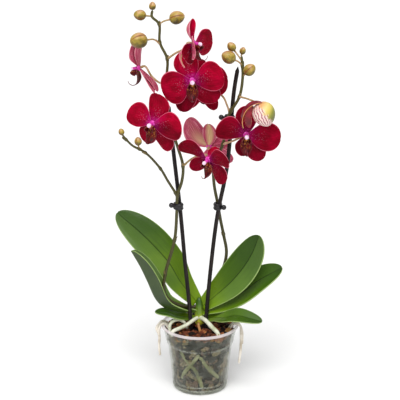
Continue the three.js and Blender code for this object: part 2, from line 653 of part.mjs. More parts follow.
for (const [name, item] of Object.entries(buds)) {
  const mesh = addPiece(name, bud(item), finish(0xb09a38, 0.5));
  mesh.quaternion.setFromUnitVectors(new THREE.Vector3(0, 1, 0), budDirection(item));
  mesh.position.set(...item.at);
}
const opening = {
  opening_bud: [fuse([egg([0, 0, 0]), openSepal(openingBud.sepal)]), finish(0xd8b070, 0.5)],
  opening_bud_heart: [heartPetal(openingBud.heart), finish(0x7a0a20, 0.6)],
};
for (const [name, [body, material]] of Object.entries(opening)) {
  addPiece(name, body, material).position.set(...openingBud.at);
}

for (const [name, bloom] of Object.entries(blooms)) {
  const matrix = bloomMatrix(bloom);
  const petals = addPiece(`${name}_petals`, bloomPetals(bloom), finish(0xa8052c, 0.6));
  petals.applyMatrix4(matrix);
  const heart = addPiece(`${name}_lip`, lip(bloom), finish(0x5a0612, 0.5));
  heart.applyMatrix4(matrix);
}

export default orchid;
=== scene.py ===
import math
import random

import bmesh
import bpy
from mathutils import Matrix, Vector, noise


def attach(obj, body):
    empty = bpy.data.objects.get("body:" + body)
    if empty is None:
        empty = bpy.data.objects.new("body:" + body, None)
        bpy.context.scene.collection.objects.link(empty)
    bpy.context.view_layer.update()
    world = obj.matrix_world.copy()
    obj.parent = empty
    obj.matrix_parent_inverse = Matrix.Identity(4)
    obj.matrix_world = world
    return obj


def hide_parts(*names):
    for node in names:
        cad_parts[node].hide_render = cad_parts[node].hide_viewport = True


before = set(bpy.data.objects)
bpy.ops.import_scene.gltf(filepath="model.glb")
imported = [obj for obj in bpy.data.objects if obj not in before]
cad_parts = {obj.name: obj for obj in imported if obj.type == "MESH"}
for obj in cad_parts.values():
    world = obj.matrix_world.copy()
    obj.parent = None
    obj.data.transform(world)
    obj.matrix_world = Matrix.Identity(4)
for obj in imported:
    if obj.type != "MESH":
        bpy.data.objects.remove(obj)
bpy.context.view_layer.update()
mm = 0.001  # scene.py works in metres, the numbers of the plant are millimetres

studio = {
    "cameraPlace": (0, -2.0, 0.94), "lookDown": 17.62, "lens": 125.0,
    "sky": 0.60, "sun": 2.35, "sunTurn": (33, -2, -3), "sunSize": 40,
    "floorSize": 24, "floorTone": 0.93,
}


def makeStudio(look):
    camera = bpy.data.cameras.new("camera")
    camera.lens, camera.clip_end = look["lens"], 50
    holder = bpy.data.objects.new("camera", camera)
    holder.location = look["cameraPlace"]
    holder.rotation_euler = (math.radians(90 - look["lookDown"]), 0, 0)
    sun = bpy.data.lights.new("softSun", "SUN")
    sun.energy, sun.angle = look["sun"], math.radians(look["sunSize"])
    lamp = bpy.data.objects.new("softSun", sun)
    lamp.rotation_euler = [math.radians(turn) for turn in look["sunTurn"]]
    for thing in (holder, lamp):
        bpy.context.scene.collection.objects.link(thing)
    world = bpy.data.worlds.new("studio")
    world.use_nodes = True
    sky = world.node_tree.nodes["Background"]
    sky.inputs["Color"].default_value = (1, 1, 1, 1)
    sky.inputs["Strength"].default_value = look["sky"]
    bpy.context.scene.world = world
    bpy.context.scene.camera = holder
    bpy.context.scene.view_settings.view_transform = "Standard"


# linear colour of a #rrggbb code
def paint(code):
    values = [int(code[i:i + 2], 16) / 255 for i in (1, 3, 5)]
    return (*[v / 12.92 if v <= 0.04045 else ((v + 0.055) / 1.055) ** 2.4 for v in values], 1)


def newMaterial(name, roughness, **sockets):
    mat = bpy.data.materials.new(name)
    mat.use_nodes = True
    shader = mat.node_tree.nodes["Principled BSDF"]
    shader.inputs["Roughness"].default_value = roughness
    for socket, value in sockets.items():
        shader.inputs[socket.replace("_", " ")].default_value = value
    return mat, shader


# joins a value to a node's input: another node's output by a link, anything else as it is
def feed(value, socket):
    if isinstance(value, bpy.types.NodeSocket):
        socket.id_data.links.new(value, socket)
    else:
        socket.default_value = paint(value) if isinstance(value, str) else value


def addNode(tree, kind, inputs=None, **settings):
    node = tree.nodes.new("ShaderNode" + kind)
    for name, value in settings.items():
        setattr(node, name, value)
    for key, value in (inputs or {}).items():
        feed(value, node.inputs[key])
    return node


# the node tree that a value comes from
def treeOf(*values):
    return next(value.id_data for value in values if isinstance(value, bpy.types.NodeSocket))


def scaled(mat, kind, output, scale):
    place = addNode(mat.node_tree, kind).outputs[output]
    return addNode(mat.node_tree, "Mapping", {"Vector": place, "Scale": scale}).outputs[0]


def objectPlace(mat, scale=(1, 1, 1)):
    return scaled(mat, "TexCoord", "Object", scale)


def ownUv(mat, scale=(1, 1, 1)):
    return scaled(mat, "UVMap", 0, scale)


def attribute(mat, name):
    return addNode(mat.node_tree, "Attribute", attribute_name=name).outputs["Fac"]


def axes(place):
    return addNode(treeOf(place), "SeparateXYZ", {0: place}).outputs


def noiseFac(place, scale, detail=3.0, distortion=0.0):
    inputs = {"Vector": place, "Scale": scale, "Detail": detail, "Distortion": distortion}
    return addNode(treeOf(place), "TexNoise", inputs).outputs["Fac"]


# stops are pairs of a position and a colour code or a grey
def ramp(fac, stops):
    node = addNode(treeOf(fac), "ValToRGB", {"Fac": fac})
    elements = node.color_ramp.elements
    while len(elements) < len(stops):
        elements.new(0.5)
    for element, (position, color) in zip(elements, stops):
        element.position = position
        element.color = paint(color) if isinstance(color, str) else (color, color, color, 1)
    return node.outputs["Color"]


def mixColor(fac, a, b):
    node = addNode(treeOf(fac, a, b), "Mix", data_type="RGBA")
    for value, number in ((fac, 0), (a, 6), (b, 7)):  # the colour mix uses these inputs
        feed(value, node.inputs[number])
    return node.outputs[2]


def maths(operation, a, b=0.0, clamp=False):
    node = addNode(treeOf(a, b), "Math", {0: a, 1: b}, operation=operation, use_clamp=clamp)
    return node.outputs[0]


def between(value, low, high, toLow=0.0, toHigh=1.0):
    inputs = {"Value": value, "From Min": low, "From Max": high, "To Min": toLow, "To Max": toHigh}
    return addNode(treeOf(value), "MapRange", inputs).outputs[0]


# the colour comes in over body while value goes from low to high
def tint(body, color, value, low, high, start=0.0, full=1.0):
    return mixColor(between(value, low, high, start, full), body, color)


# how far a value is from the middle, whichever side
def awayFrom(value, middle):
    return maths("ABSOLUTE", maths("SUBTRACT", value, middle))


def addBump(shader, height, strength, distance):
    inputs = {"Height": height, "Strength": strength, "Distance": distance}
    feed(addNode(treeOf(height), "Bump", inputs).outputs[0], shader.inputs["Normal"])


def setColor(shader, socket):
    feed(socket, shader.inputs["Base Color"])


# a material whose colour wanders between the stops
def mottled(name, roughness, scale, stops, detail=3.0, **sockets):
    mat, shader = newMaterial(name, roughness, **sockets)
    setColor(shader, ramp(noiseFac(objectPlace(mat), scale, detail), stops))
    return mat


# count evenly spaced points, in metres, on a smooth curve through points in millimetres
def smoothLine(points, count, steps=30):
    knots = [Vector(p) for p in points]
    knots = [2 * knots[0] - knots[1]] + knots + [2 * knots[-1] - knots[-2]]
    dense = []
    for a, b, c, d in zip(knots, knots[1:], knots[2:], knots[3:]):
        s, t, w = (b - a).length ** 0.5, (c - b).length ** 0.5, (d - c).length ** 0.5
        leave = ((b - a) / s - (c - a) / (s + t) + (c - b) / t) * t
        arrive = ((c - b) / t - (d - b) / (t + w) + (d - c) / w) * t
        for x in [i / steps for i in range(steps)]:
            dense.append(b + leave * x + (3 * (c - b) - 2 * leave - arrive) * x * x
                         + (2 * (b - c) + leave + arrive) * x ** 3)
    dense.append(knots[-2])
    lengths = [0.0]
    for p, q in zip(dense, dense[1:]):
        lengths.append(lengths[-1] + (q - p).length)
    line, at = [], 0
    for i in range(count):
        target = lengths[-1] * i / (count - 1)
        while at < len(dense) - 2 and lengths[at + 1] < target:
            at += 1
        share = (target - lengths[at]) / max(lengths[at + 1] - lengths[at], 1e-9)
        line.append(dense[at].lerp(dense[at + 1], min(share, 1)) * mm)
    return line


def smoothstep(x):
    x = min(max(x, 0.0), 1.0)
    return x * x * (3 - 2 * x)


# root_left becomes rootLeft
def camel(name):
    first, *others = name.split("_")
    return first + "".join(word.capitalize() for word in others)


def facesOf(verts):
    return {face for vert in verts for face in vert.link_faces}


def useSlot(verts, slot):
    for face in facesOf(verts):
        face.material_index = slot


# makes an object of bm, which goes, and puts it in the scene
def objectFrom(bm, name, materials=()):
    mesh = bpy.data.meshes.new(name)
    bm.to_mesh(mesh)
    bm.free()
    for mat in materials:
        mesh.materials.append(mat)
    thing = bpy.data.objects.new(name, mesh)
    bpy.context.scene.collection.objects.link(thing)
    return thing


# a helper object's mesh with its modifiers applied; the object goes
def takeMesh(thing):
    bpy.context.view_layer.update()
    graph = bpy.context.evaluated_depsgraph_get()
    done, plain = bpy.data.meshes.new_from_object(thing.evaluated_get(graph)), thing.data
    bpy.data.objects.remove(thing)
    bpy.data.meshes.remove(plain)
    return done


# adds a mesh to bm, in one material slot where slot is given, and the mesh goes
def joinMesh(bm, mesh, slot=None):
    if slot is not None:
        mesh.polygons.foreach_set("material_index", [slot] * len(mesh.polygons))
    bm.from_mesh(mesh)
    bpy.data.meshes.remove(mesh)


def finishPiece(bm, name, node, materials, smooth=True, sharp=None):
    piece = objectFrom(bm, name, materials)
    piece.data.polygons.foreach_set("use_smooth", [smooth] * len(piece.data.polygons))
    if sharp:
        piece.data.set_sharp_from_angle(angle=math.radians(sharp))
    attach(piece, "root")
    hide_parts(node)


# a tube along the line, radii in millimetres, closed at both ends
def addTube(bm, line, radii, sides=12, slot=0):
    curve = bpy.data.curves.new("tube", "CURVE")
    curve.dimensions, curve.use_fill_caps = "3D", True
    curve.bevel_depth, curve.bevel_resolution = mm, max(sides // 2 - 2, 0)
    spline = curve.splines.new("POLY")
    spline.points.add(len(line) - 1)
    for point, place, radius in zip(spline.points, line, radii):
        point.co, point.radius = (*place, 1), radius
    holder = bpy.data.objects.new("tube", curve)
    joinMesh(bm, bpy.data.meshes.new_from_object(holder), slot)
    bpy.data.objects.remove(holder)
    bpy.data.curves.remove(curve)


# radii along a line, rounded off at the ends, tapering and slightly lumpy
def roundRadii(line, radius, start=True, taper=0.0, lumps=0.0, seed=0.0):
    radii, far = [], sum((b - a).length for a, b in zip(line, line[1:])) / mm
    for i, place in enumerate(line):
        along = far * i / (len(line) - 1)
        size = radius * (1 - taper * i / (len(line) - 1))
        size *= 1 + lumps * noise.noise(place * 160 + Vector((seed, 0, 0)))
        for d in [along, far - along] if start else [far - along]:
            if d < radius:
                size *= max(math.sqrt(max(1 - (1 - d / radius) ** 2, 0)), 0.12)
        radii.append(size)
    return radii


# a grid sheet: place(u, v) gives its points for u from 0 to 1 along and v from -1 to 1 across;
# it returns pairs of a vertex and its own (across, along) from 0 to 1
def addBlade(bm, rows, columns, place):
    verts = bmesh.ops.create_grid(bm, x_segments=columns, y_segments=rows, size=1)["verts"]
    spots = [((vert.co.x + 1) / 2, (vert.co.y + 1) / 2) for vert in verts]
    uvLayer = bm.loops.layers.uv.verify()
    for vert, spot in zip(verts, spots):
        for loop in vert.link_loops:
            loop[uvLayer].uv = spot
    for vert, (across, along) in zip(verts, spots):
        vert.co = place(along, vert.co.x)
    return zip(verts, spots)


# turns a profile of (radius, height) in millimetres round the vertical axis
def spinProfile(bm, profile, segments, slot=0):
    verts = [bm.verts.new((r * mm, 0, z * mm)) for r, z in profile]
    edges = [bm.edges.new(pair) for pair in zip(verts, verts[1:])]
    before = set(bm.faces)
    bmesh.ops.spin(bm, geom=verts + edges, cent=(0, 0, 0), axis=(0, 0, 1), angle=2 * math.pi,
                   steps=segments, use_merge=True, use_duplicate=False)
    near = list({vert for face in bm.faces if face not in before for vert in face.verts})
    bmesh.ops.remove_doubles(bm, verts=near, dist=1e-6)
    faces = [face for face in bm.faces if face not in before]
    bmesh.ops.recalc_face_normals(bm, faces=faces)
    for face in faces:
        face.material_index = slot
    return faces


# gives sheets a thickness on both sides, with other materials on the back and the rim
def thicken(bm, thickness, backSlot=1, rimSlot=2):
    holder = objectFrom(bm, "sheet", [None] * (max(backSlot, rimSlot) + 1))
    wall = holder.modifiers.new("wall", "SOLIDIFY")
    wall.thickness, wall.offset, wall.use_even_offset = thickness * mm, 0, False
    wall.material_offset, wall.material_offset_rim = backSlot, rimSlot
    thick = bmesh.new()
    joinMesh(thick, takeMesh(holder))
    return thick


def makeFloor(look):
    tone = look["floorTone"]
    paper = mottled("floorPaper", 0.9, 3.0, [(0.3, tone), (0.7, tone + 0.01)])
    bm = bmesh.new()
    bmesh.ops.create_grid(bm, x_segments=1, y_segments=1, size=look["floorSize"] / 2)
    floor = objectFrom(bm, "floor", [paper])


print("studio")
makeStudio(studio)
makeFloor(studio)

pot = {
    # the rim colour is a painted highlight
    "segments": 96, "haze": 0.095, "edgeHaze": 0.6, "hazeColor": "#757B66", "paintedRimHighlight": "#E2D6DA",
    "rings": [(75.2, 0.6, 1.4), (6.3, 0.4, 1.1), (12.8, 0.4, 1.1)],  # height, half widths
    "ringCover": 0.34, "footCover": 0.42,
    "drainHoles": 8, "drainCircle": 31, "drainRadius": 3.2,
    "wall": 1.6, "footRadius": 42, "flare": 8, "shoulder": 74,
    "outside": [
        (0, 0), (38.5, 0), (40.6, 0.5), (41.8, 1.6), (42.2, 3.2), (42.35, 5.2), (42.95, 5.8),
        (43.0, 6.6), (42.55, 7.2), (43.0, 11.6), (43.6, 12.2), (43.7, 13.2), (43.3, 13.8),
        (49.9, 73.5), (50.3, 74.4), (51.2, 75.2), (51.9, 76), (52.4, 78), (55, 90), (56.9, 99.6),
        (57.6, 100.4), (58.8, 100.7), (59.6, 101.2), (60, 102.1), (60, 103.4), (59.6, 104.4),
        (58.8, 104.9), (57.9, 105), (57.0, 104.8), (56.4, 104.2)],
    "inside": [
        (55.5, 100), (53.4, 90), (50.6, 78), (50.2, 77), (49.2, 75.8), (48.4, 74.6), (48.2, 73.5),
        (40.8, 6), (40.2, 4), (39.2, 2.8), (37.6, 2.1), (36, 2), (0, 2)],
    "rimFoot": 100.5, "rimInside": 56,
}


# outside radius of the tapered wall below its shoulder
def potRadius(height):
    return pot["footRadius"] + pot["flare"] * height / pot["shoulder"]


def potMaterials(look):
    wall, shader = newMaterial("clearPlastic", 0.22, IOR=1.49, Specular_IOR_Level=0.6)
    place = objectPlace(wall)
    streaks = noiseFac(objectPlace(wall, (1, 1, 0.15)), 90, 4)
    facing = addNode(wall.node_tree, "LayerWeight", {"Blend": 0.5}).outputs["Facing"]
    haze = mixColor(streaks, look["hazeColor"], "#B7B9AE")
    # towards its outline the wall turns lighter and hazier: the thicker look of the slanted wall,
    # with a painted reflection of the light over it
    setColor(shader, tint(haze, "#C6CABE", facing, 0.45, 0.85))
    height = axes(place)["Z"]
    cover = between(maths("POWER", facing, 2.6), 0, 1, look["haze"], look["edgeHaze"])
    for level, full, faded in look["rings"]:
        ring = awayFrom(height, level * mm)
        cover = maths("ADD", cover, between(ring, full * mm, faded * mm, look["ringCover"], 0.0))
    cover = maths("ADD", cover, between(height, 0.002, 0.009, look["footCover"], 0.0))
    cloud = between(noiseFac(place, 95, 4, 0.6), 0.35, 0.68, 0.45, 1.5)
    feed(maths("MULTIPLY", cover, cloud, True), shader.inputs["Alpha"])
    addBump(shader, noiseFac(place, 120, 2), 0.15, 0.0006)
    # painted highlight: the clear rim is coloured pinkish white
    rim, rimShader = newMaterial("clearRim", 0.18, IOR=1.49, Alpha=0.66)
    setColor(rimShader, mixColor(noiseFac(objectPlace(rim), 60), look["paintedRimHighlight"], "#F2ECEC"))
    return [wall, rim]


def makePot(look):
    bm = bmesh.new()
    for face in spinProfile(bm, look["outside"] + look["inside"], look["segments"]):
        middle = face.calc_center_median() / mm
        if middle.z > look["rimFoot"] and middle.xy.length > look["rimInside"]:
            face.material_index = 1
    mats = potMaterials(look)
    body = objectFrom(bm, "potBody", mats)
    drill = bmesh.new()
    for i in range(look["drainHoles"]):
        angle, radius = 2 * math.pi * (i + 0.5) / look["drainHoles"], look["drainRadius"] * mm
        spot = Vector((math.cos(angle), math.sin(angle), 0)) * look["drainCircle"] * mm
        bmesh.ops.create_cone(drill, cap_ends=True, segments=20, radius1=radius, radius2=radius,
                              depth=12 * mm, matrix=Matrix.Translation(spot))
    bit = objectFrom(drill, "drill")
    holes = body.modifiers.new("drain", "BOOLEAN")
    holes.operation, holes.object, holes.solver = "DIFFERENCE", bit, "EXACT"
    bm = bmesh.new()
    joinMesh(bm, takeMesh(body))
    bpy.data.objects.remove(bit)
    finishPiece(bm, "potShell", "pot", mats, sharp=35)


print("pot")
makePot(pot)

bark = {
    "seed": 11, "topChips": 210, "wallChips": 520, "top": 100, "rim": 97, "floor": 2.4,
    "chipGap": 1.1,  # between a chip and the pot's wall
    "coreTone": 0.1,
    "damp": [(0.0, "#050404"), (0.3, "#170F10"), (0.5, "#43302E"), (0.7, "#76604E"),
             (0.86, "#A09270"), (1.0, "#4C4A2A")],
    "tones": [(0.0, "#0A0604"), (0.28, "#1E0E08"), (0.5, "#4A2416"), (0.7, "#84452A"),
              (0.86, "#A8703E"), (1.0, "#8C7C48")],
}

wallRoots = {  # bends as pairs of a turn round the pot and a height
    "wall_root_left": [[(-42, 71), (-33, 62), (-23, 53), (-11, 43), (-2, 28), (6, 10)],
                       [(-2, 70), (-12, 59), (-23, 48), (-35, 36), (-45, 24)]],
    "wall_root_right": [[(0, 66), (10, 53), (22, 42), (36, 31), (46, 24)]],
}
wallRootRadius = 2.8


def wallRootPoints(bends):
    points = []
    for turn, height in bends:
        reach = potRadius(height) - pot["wall"] - wallRootRadius - 0.9
        angle = math.radians(turn)
        points.append((reach * math.sin(angle), -reach * math.cos(angle), height))
    return points


# height of the bark's top, which slopes a little towards the rim
def barkSurface(reach):
    return bark["top"] - (bark["top"] - bark["rim"]) * min(reach / 52, 1)


def barkMaterial(name, tones):
    mat, shader = newMaterial(name, 0.85, Specular_IOR_Level=0.25)
    grain = noiseFac(objectPlace(mat, (1, 1, 2.4)), 420, 5)
    tone = maths("ADD", attribute(mat, "chipTone"), between(grain, 0.3, 0.7, -0.2, 0.2), True)
    setColor(shader, ramp(tone, tones))
    addBump(shader, grain, 0.9, 0.0014)
    return mat


def makeBark(look):
    rng = random.Random(look["seed"])
    rootSpots = [p / mm for strands in wallRoots.values() for bends in strands
                 for p in smoothLine(wallRootPoints(bends), 40)]
    shoulder, floor = pot["shoulder"], look["floor"]
    bm = bmesh.new()
    toneLayer = bm.verts.layers.float.new("chipTone")
    spinProfile(bm, [(0, floor), (34, floor), (37.5, 5), (potRadius(9) - 5, 9),
                     (potRadius(40) - 5.2, 40), (potRadius(shoulder) - 5.2, shoulder), (49, 84),
                     (49.5, 90.5), (40, 93), (24, 95), (0, 96)], 64)
    for vert in bm.verts:
        vert[toneLayer] = look["coreTone"]

    def keepInside(co):
        inner = potRadius(min(co.z, shoulder)) + max(co.z - shoulder, 0) * 0.29
        inner -= pot["wall"] + look["chipGap"]
        reach = co.xy.length
        if any((co - spot).length < wallRootRadius + 1.2 for spot in rootSpots):
            inner = min(inner, potRadius(co.z) - pot["wall"] - 2 * wallRootRadius - 2.2)
        if reach > inner:
            co.xy *= inner / reach
        co.z = max(co.z, floor)

    def addChip(size, turn, place, tone, slot):
        cube = bmesh.ops.create_cube(bm, size=1)["verts"]
        edges = dict.fromkeys(edge for vert in cube for edge in vert.link_edges)
        made = bmesh.ops.bevel(bm, geom=list(edges), offset=0.16, affect="EDGES", segments=1,
                               profile=0.5, material=-1)["verts"]
        useSlot(made, slot)
        for vert in made:
            vert[toneLayer] = tone
            jitter = Vector([rng.uniform(-0.09, 0.09) for _ in range(3)])
            co = turn @ Vector([c * s for c, s in zip(vert.co + jitter, size)]) + place
            keepInside(co)
            vert.co = co * mm

    def polar(reach, angle, height):
        return Vector((reach * math.cos(angle), reach * math.sin(angle), height))

    for _ in range(look["wallChips"]):
        angle, height = rng.uniform(0, 2 * math.pi), rng.uniform(3, 91)
        reach = potRadius(height) - rng.uniform(4.2, 6.5)
        turn = (Matrix.Rotation(angle, 3, "Z") @ Matrix.Rotation(rng.uniform(-0.25, 0.25), 3, "Y")
                @ Matrix.Rotation(rng.uniform(0, math.pi), 3, "X"))
        size = (rng.uniform(3, 6), rng.uniform(6, 14), rng.uniform(4, 9))
        tone = rng.choice((0.12, 0.3, 0.45, 0.6, 0.75, 0.95))
        addChip(size, turn, polar(reach, angle, height), tone, 0)
    for _ in range(look["topChips"]):
        angle, reach = rng.uniform(0, 2 * math.pi), 53 * math.sqrt(rng.random())
        turn = (Matrix.Rotation(rng.uniform(0, math.pi), 3, "Z")
                @ Matrix.Rotation(rng.gauss(0, 0.35), 3, "X")
                @ Matrix.Rotation(rng.gauss(0, 0.35), 3, "Y"))
        size = (rng.uniform(9, 20), rng.uniform(6, 12), rng.uniform(3, 6.5))
        place = polar(reach, angle, barkSurface(reach) - rng.uniform(0.5, 4.5))
        addChip(size, turn, place, rng.choice((0.2, 0.4, 0.5, 0.62, 0.75, 0.9)), 1)
    mats = [barkMaterial("dampBark", look["damp"]), barkMaterial("firBark", look["tones"])]
    finishPiece(bm, "barkChips", "bark", mats, smooth=False)


print("bark")
makeBark(bark)

crown = {
    "place": (-1.5, 3, 0),
    "profile": [(0, 94.2), (4.5, 94.5), (5.6, 97), (6.6, 101), (7, 106), (6.9, 112), (6.6, 118),
                (6.2, 124), (5.9, 130), (5.2, 136), (4.0, 141), (2.4, 144.6), (0, 146)],
    "tones": [(0.0, "#7A5A20"), (0.12, "#B8B030"), (0.28, "#C6CC3C"), (0.5, "#7C982A"),
              (0.75, "#466A18"), (1.0, "#2E5010")],
}


def makeCrown(look):
    mat, shader = newMaterial("crownSkin", 0.38, Subsurface_Weight=0.08, Subsurface_Scale=0.004)
    wander = between(noiseFac(objectPlace(mat), 130), 0, 1, -0.008, 0.008)
    level = between(maths("ADD", axes(objectPlace(mat))["Z"], wander), 0.096, 0.146)
    setColor(shader, ramp(level, look["tones"]))
    bm = bmesh.new()
    spinProfile(bm, look["profile"], 48)
    for vert in bm.verts:
        angle = math.atan2(vert.co.y, vert.co.x)
        vert.co.xy *= 1 + 0.07 * math.cos(2 * angle + vert.co.z * 55) + 0.02 * math.cos(7 * angle)
        vert.co += Vector(look["place"]) * mm
    finishPiece(bm, "crownStem", "crown", [mat])


surfaceRoots = {
    "root_left": {"radius": 2.9, "path": [
        (-3, -1, 114), (-11, -12, 113.5), (-21, -21, 109.5), (-31, -26, 106.5), (-42, -32, 102.5),
        (-42, -32, 95)]},
    "root_arch": {"radius": 2.4, "path": [
        (-20, -9, 92), (-22, -10, 106), (-30, -12, 114), (-40, -16, 115), (-46, -18, 109),
        (-46, -19, 92)]},
    "root_right": {"radius": 3.3, "path": [
        (0, 0, 114), (8, -12, 114), (17.5, -26, 109), (27.5, -37, 102), (29, -39, 95)]},
    "root_down": {"radius": 2.1, "path": [
        (-2.5, 0, 105), (-2, -13, 104.5), (1, -26, 98), (3, -31, 84)]},
}
rimSeat = 105 + 0.3 + 1.8  # middle of a root that lies over the rim
airRoots = {
    "air_root_left": [
        {"radius": 2.2, "path": [
            (-40, 4, 88), (-50, 3, 103), (-58, 0.5, rimSeat + 0.4), (-63.5, -4, 104),
            (-67, -11, 100), (-64.5, -13, 93), (-63, -13, 88), (-63.5, -13, 72), (-62, -13, 55)]},
        {"radius": 2.2, "path": [
            (-46, -9, 96), (-53, -10, rimSeat - 0.5), (-58.5, -11, rimSeat + 0.3),
            (-62.9, -12.5, 101), (-63.3, -13, 90), (-63.2, -13, 82)]},
    ],
    "air_root_right": [
        {"radius": 2.3, "path": [
            (42, -8, 92), (50, -10, rimSeat - 1), (57.5, -11.5, rimSeat + 0.8), (63, -12.5, 103),
            (63.5, -13.5, 92), (63, -14, 66), (60.5, -14.5, 42)]},
        {"radius": 2.0, "path": [
            (45, -1, 92), (52, -4, rimSeat - 1), (57.5, -6, rimSeat + 0.3), (63, -9.5, 102),
            (65.5, -12, 92), (65.3, -12.4, 74)]},
    ],
}


def rootMaterial(name, light, mid, dark, roughness, blotch):
    mat, shader = newMaterial(name, roughness, Specular_IOR_Level=0.3)
    wide = noiseFac(objectPlace(mat), blotch, 4, 0.6)
    fine = noiseFac(objectPlace(mat), 900, 4)
    color = ramp(wide, [(0.3, dark), (0.48, mid), (0.66, light)])
    setColor(shader, tint(color, dark, fine, 0.35, 0.7, 0.0, 0.35))
    addBump(shader, fine, 0.5, 0.0004)
    return mat


def makeRoots():
    pale = rootMaterial("rootSkin", "#ECEADB", "#D9DCC6", "#A9B088", 0.55, 70)
    dry = rootMaterial("dryRootSkin", "#F4EEE4", "#E4DCCE", "#BDB09C", 0.75, 60)
    brown = rootMaterial("brownRootSkin", "#C9A070", "#A8703A", "#6E4424", 0.6, 60)
    green = rootMaterial("dampRootSkin", "#A2A67C", "#84885A", "#5C6238", 0.5, 60)
    for name, root in surfaceRoots.items():
        line = smoothLine(root["path"], 60)
        bm = bmesh.new()
        addTube(bm, line, roundRadii(line, root["radius"], lumps=0.10, seed=len(name)), 14)
        skin = brown if name == "root_down" else pale
        finishPiece(bm, camel(name) + "Piece", name, [skin])
    for name, strands in airRoots.items():
        bm = bmesh.new()
        for i, root in enumerate(strands):
            line = smoothLine(root["path"], 80)
            radii = roundRadii(line, root["radius"], taper=0.18, lumps=0.22, seed=i * 3.1)
            addTube(bm, line, radii)
        finishPiece(bm, camel(name), name, [dry])
    for name, strands in wallRoots.items():
        bm = bmesh.new()
        for i, bends in enumerate(strands):
            line = smoothLine(wallRootPoints(bends), 60)
            addTube(bm, line, roundRadii(line, wallRootRadius * 1.08, lumps=0.14, seed=i * 1.7))
        finishPiece(bm, camel(name), name, [green])


print("crown and roots")
makeCrown(crown)
makeRoots()

stakes = {
    "stake_left": [(-12.5, -10, 45), (-15, -10.6, 120), (-22.8, -4.6, 205), (-30, 1, 289),
                   (-39.5, 6, 376), (-47, 9, 452)],
    "stake_right": [(7, -9, 45), (9.3, -7, 111), (16.3, -3, 195), (26, 0, 278), (40.8, 3, 358),
                    (50, 7, 469), (56, 10, 508)],
}
stakeRadius = 3.1
clips = {
    "clip_left": {"middle": (-32.8, -2.4, 296), "turn": -45, "tab": (-43, -8, 299)},
    "clip_right_low": {"middle": (27, 4, 294), "turn": 85, "tab": (36, -3, 294)},
    "clip_right_high": {"middle": (44, 0.5, 432), "turn": -50, "tab": (31.5, -2, 434)},
}
clipForm = {"radius": 6.5, "height": 10.5, "wider": 1.3, "round": 1.4, "neck": 2.3, "ball": 4.0,
            "ringRadius": 7.0, "ringHeight": 1.7, "ringRound": 0.5, "rises": (-2.8, 2.8)}


def makeStakes():
    mat, shader = newMaterial("stakeCoat", 0.5, Specular_IOR_Level=0.25)
    grain = noiseFac(objectPlace(mat, (1, 1, 0.06)), 520, 4)
    setColor(shader, ramp(grain, [(0.3, "#070506"), (0.55, "#1A1212"), (0.75, "#3C3028")]))
    addBump(shader, grain, 0.5, 0.0005)
    for name, points in stakes.items():
        line = smoothLine(points, 70)
        bm = bmesh.new()
        addTube(bm, line, roundRadii(line, stakeRadius, lumps=0.02), 18)
        finishPiece(bm, camel(name), name, [mat])


# a short upright cylinder with rounded edges
def addBand(bm, radius, height, rounding, segments, matrix):
    made = bmesh.ops.create_cone(bm, cap_ends=True, segments=20, radius1=radius * mm,
                                 radius2=radius * mm, depth=height * mm, matrix=matrix)
    level = dict.fromkeys(edge for vert in made["verts"] for edge in vert.link_edges
                          if abs(edge.verts[0].co.z - edge.verts[1].co.z) < 1e-6)
    bmesh.ops.bevel(bm, geom=list(level), offset=rounding * mm, affect="EDGES",
                    segments=segments, profile=0.5, material=-1)


def makeClips(form):
    mat, shader = newMaterial("clipPlastic", 0.33)
    grain = noiseFac(objectPlace(mat), 600)
    setColor(shader, ramp(grain, [(0.3, "#0C0A0C"), (0.7, "#1E1A1E")]))
    addBump(shader, grain, 0.2, 0.0002)
    for name, clip in clips.items():
        middle, tab = Vector(clip["middle"]) * mm, Vector(clip["tab"]) * mm
        shape = (Matrix.Translation(middle)
                 @ Matrix.Rotation(math.radians(clip["turn"]), 4, "Z")
                 @ Matrix.Diagonal((form["wider"], 1, 1, 1)))
        bm = bmesh.new()
        addBand(bm, form["radius"], form["height"], form["round"], 3, shape)
        addTube(bm, [middle.lerp(tab, i / 10) for i in range(11)], [form["neck"]] * 11)
        bmesh.ops.create_uvsphere(bm, u_segments=20, v_segments=14, radius=form["ball"] * mm,
                                  matrix=Matrix.Translation(tab))
        for rise in form["rises"]:
            addBand(bm, form["ringRadius"], form["ringHeight"], form["ringRound"], 2,
                    Matrix.Translation((0, 0, rise * mm)) @ shape)
        finishPiece(bm, camel(name), name, [mat], sharp=50)


print("stakes and clips")
makeStakes()
makeClips(clipForm)

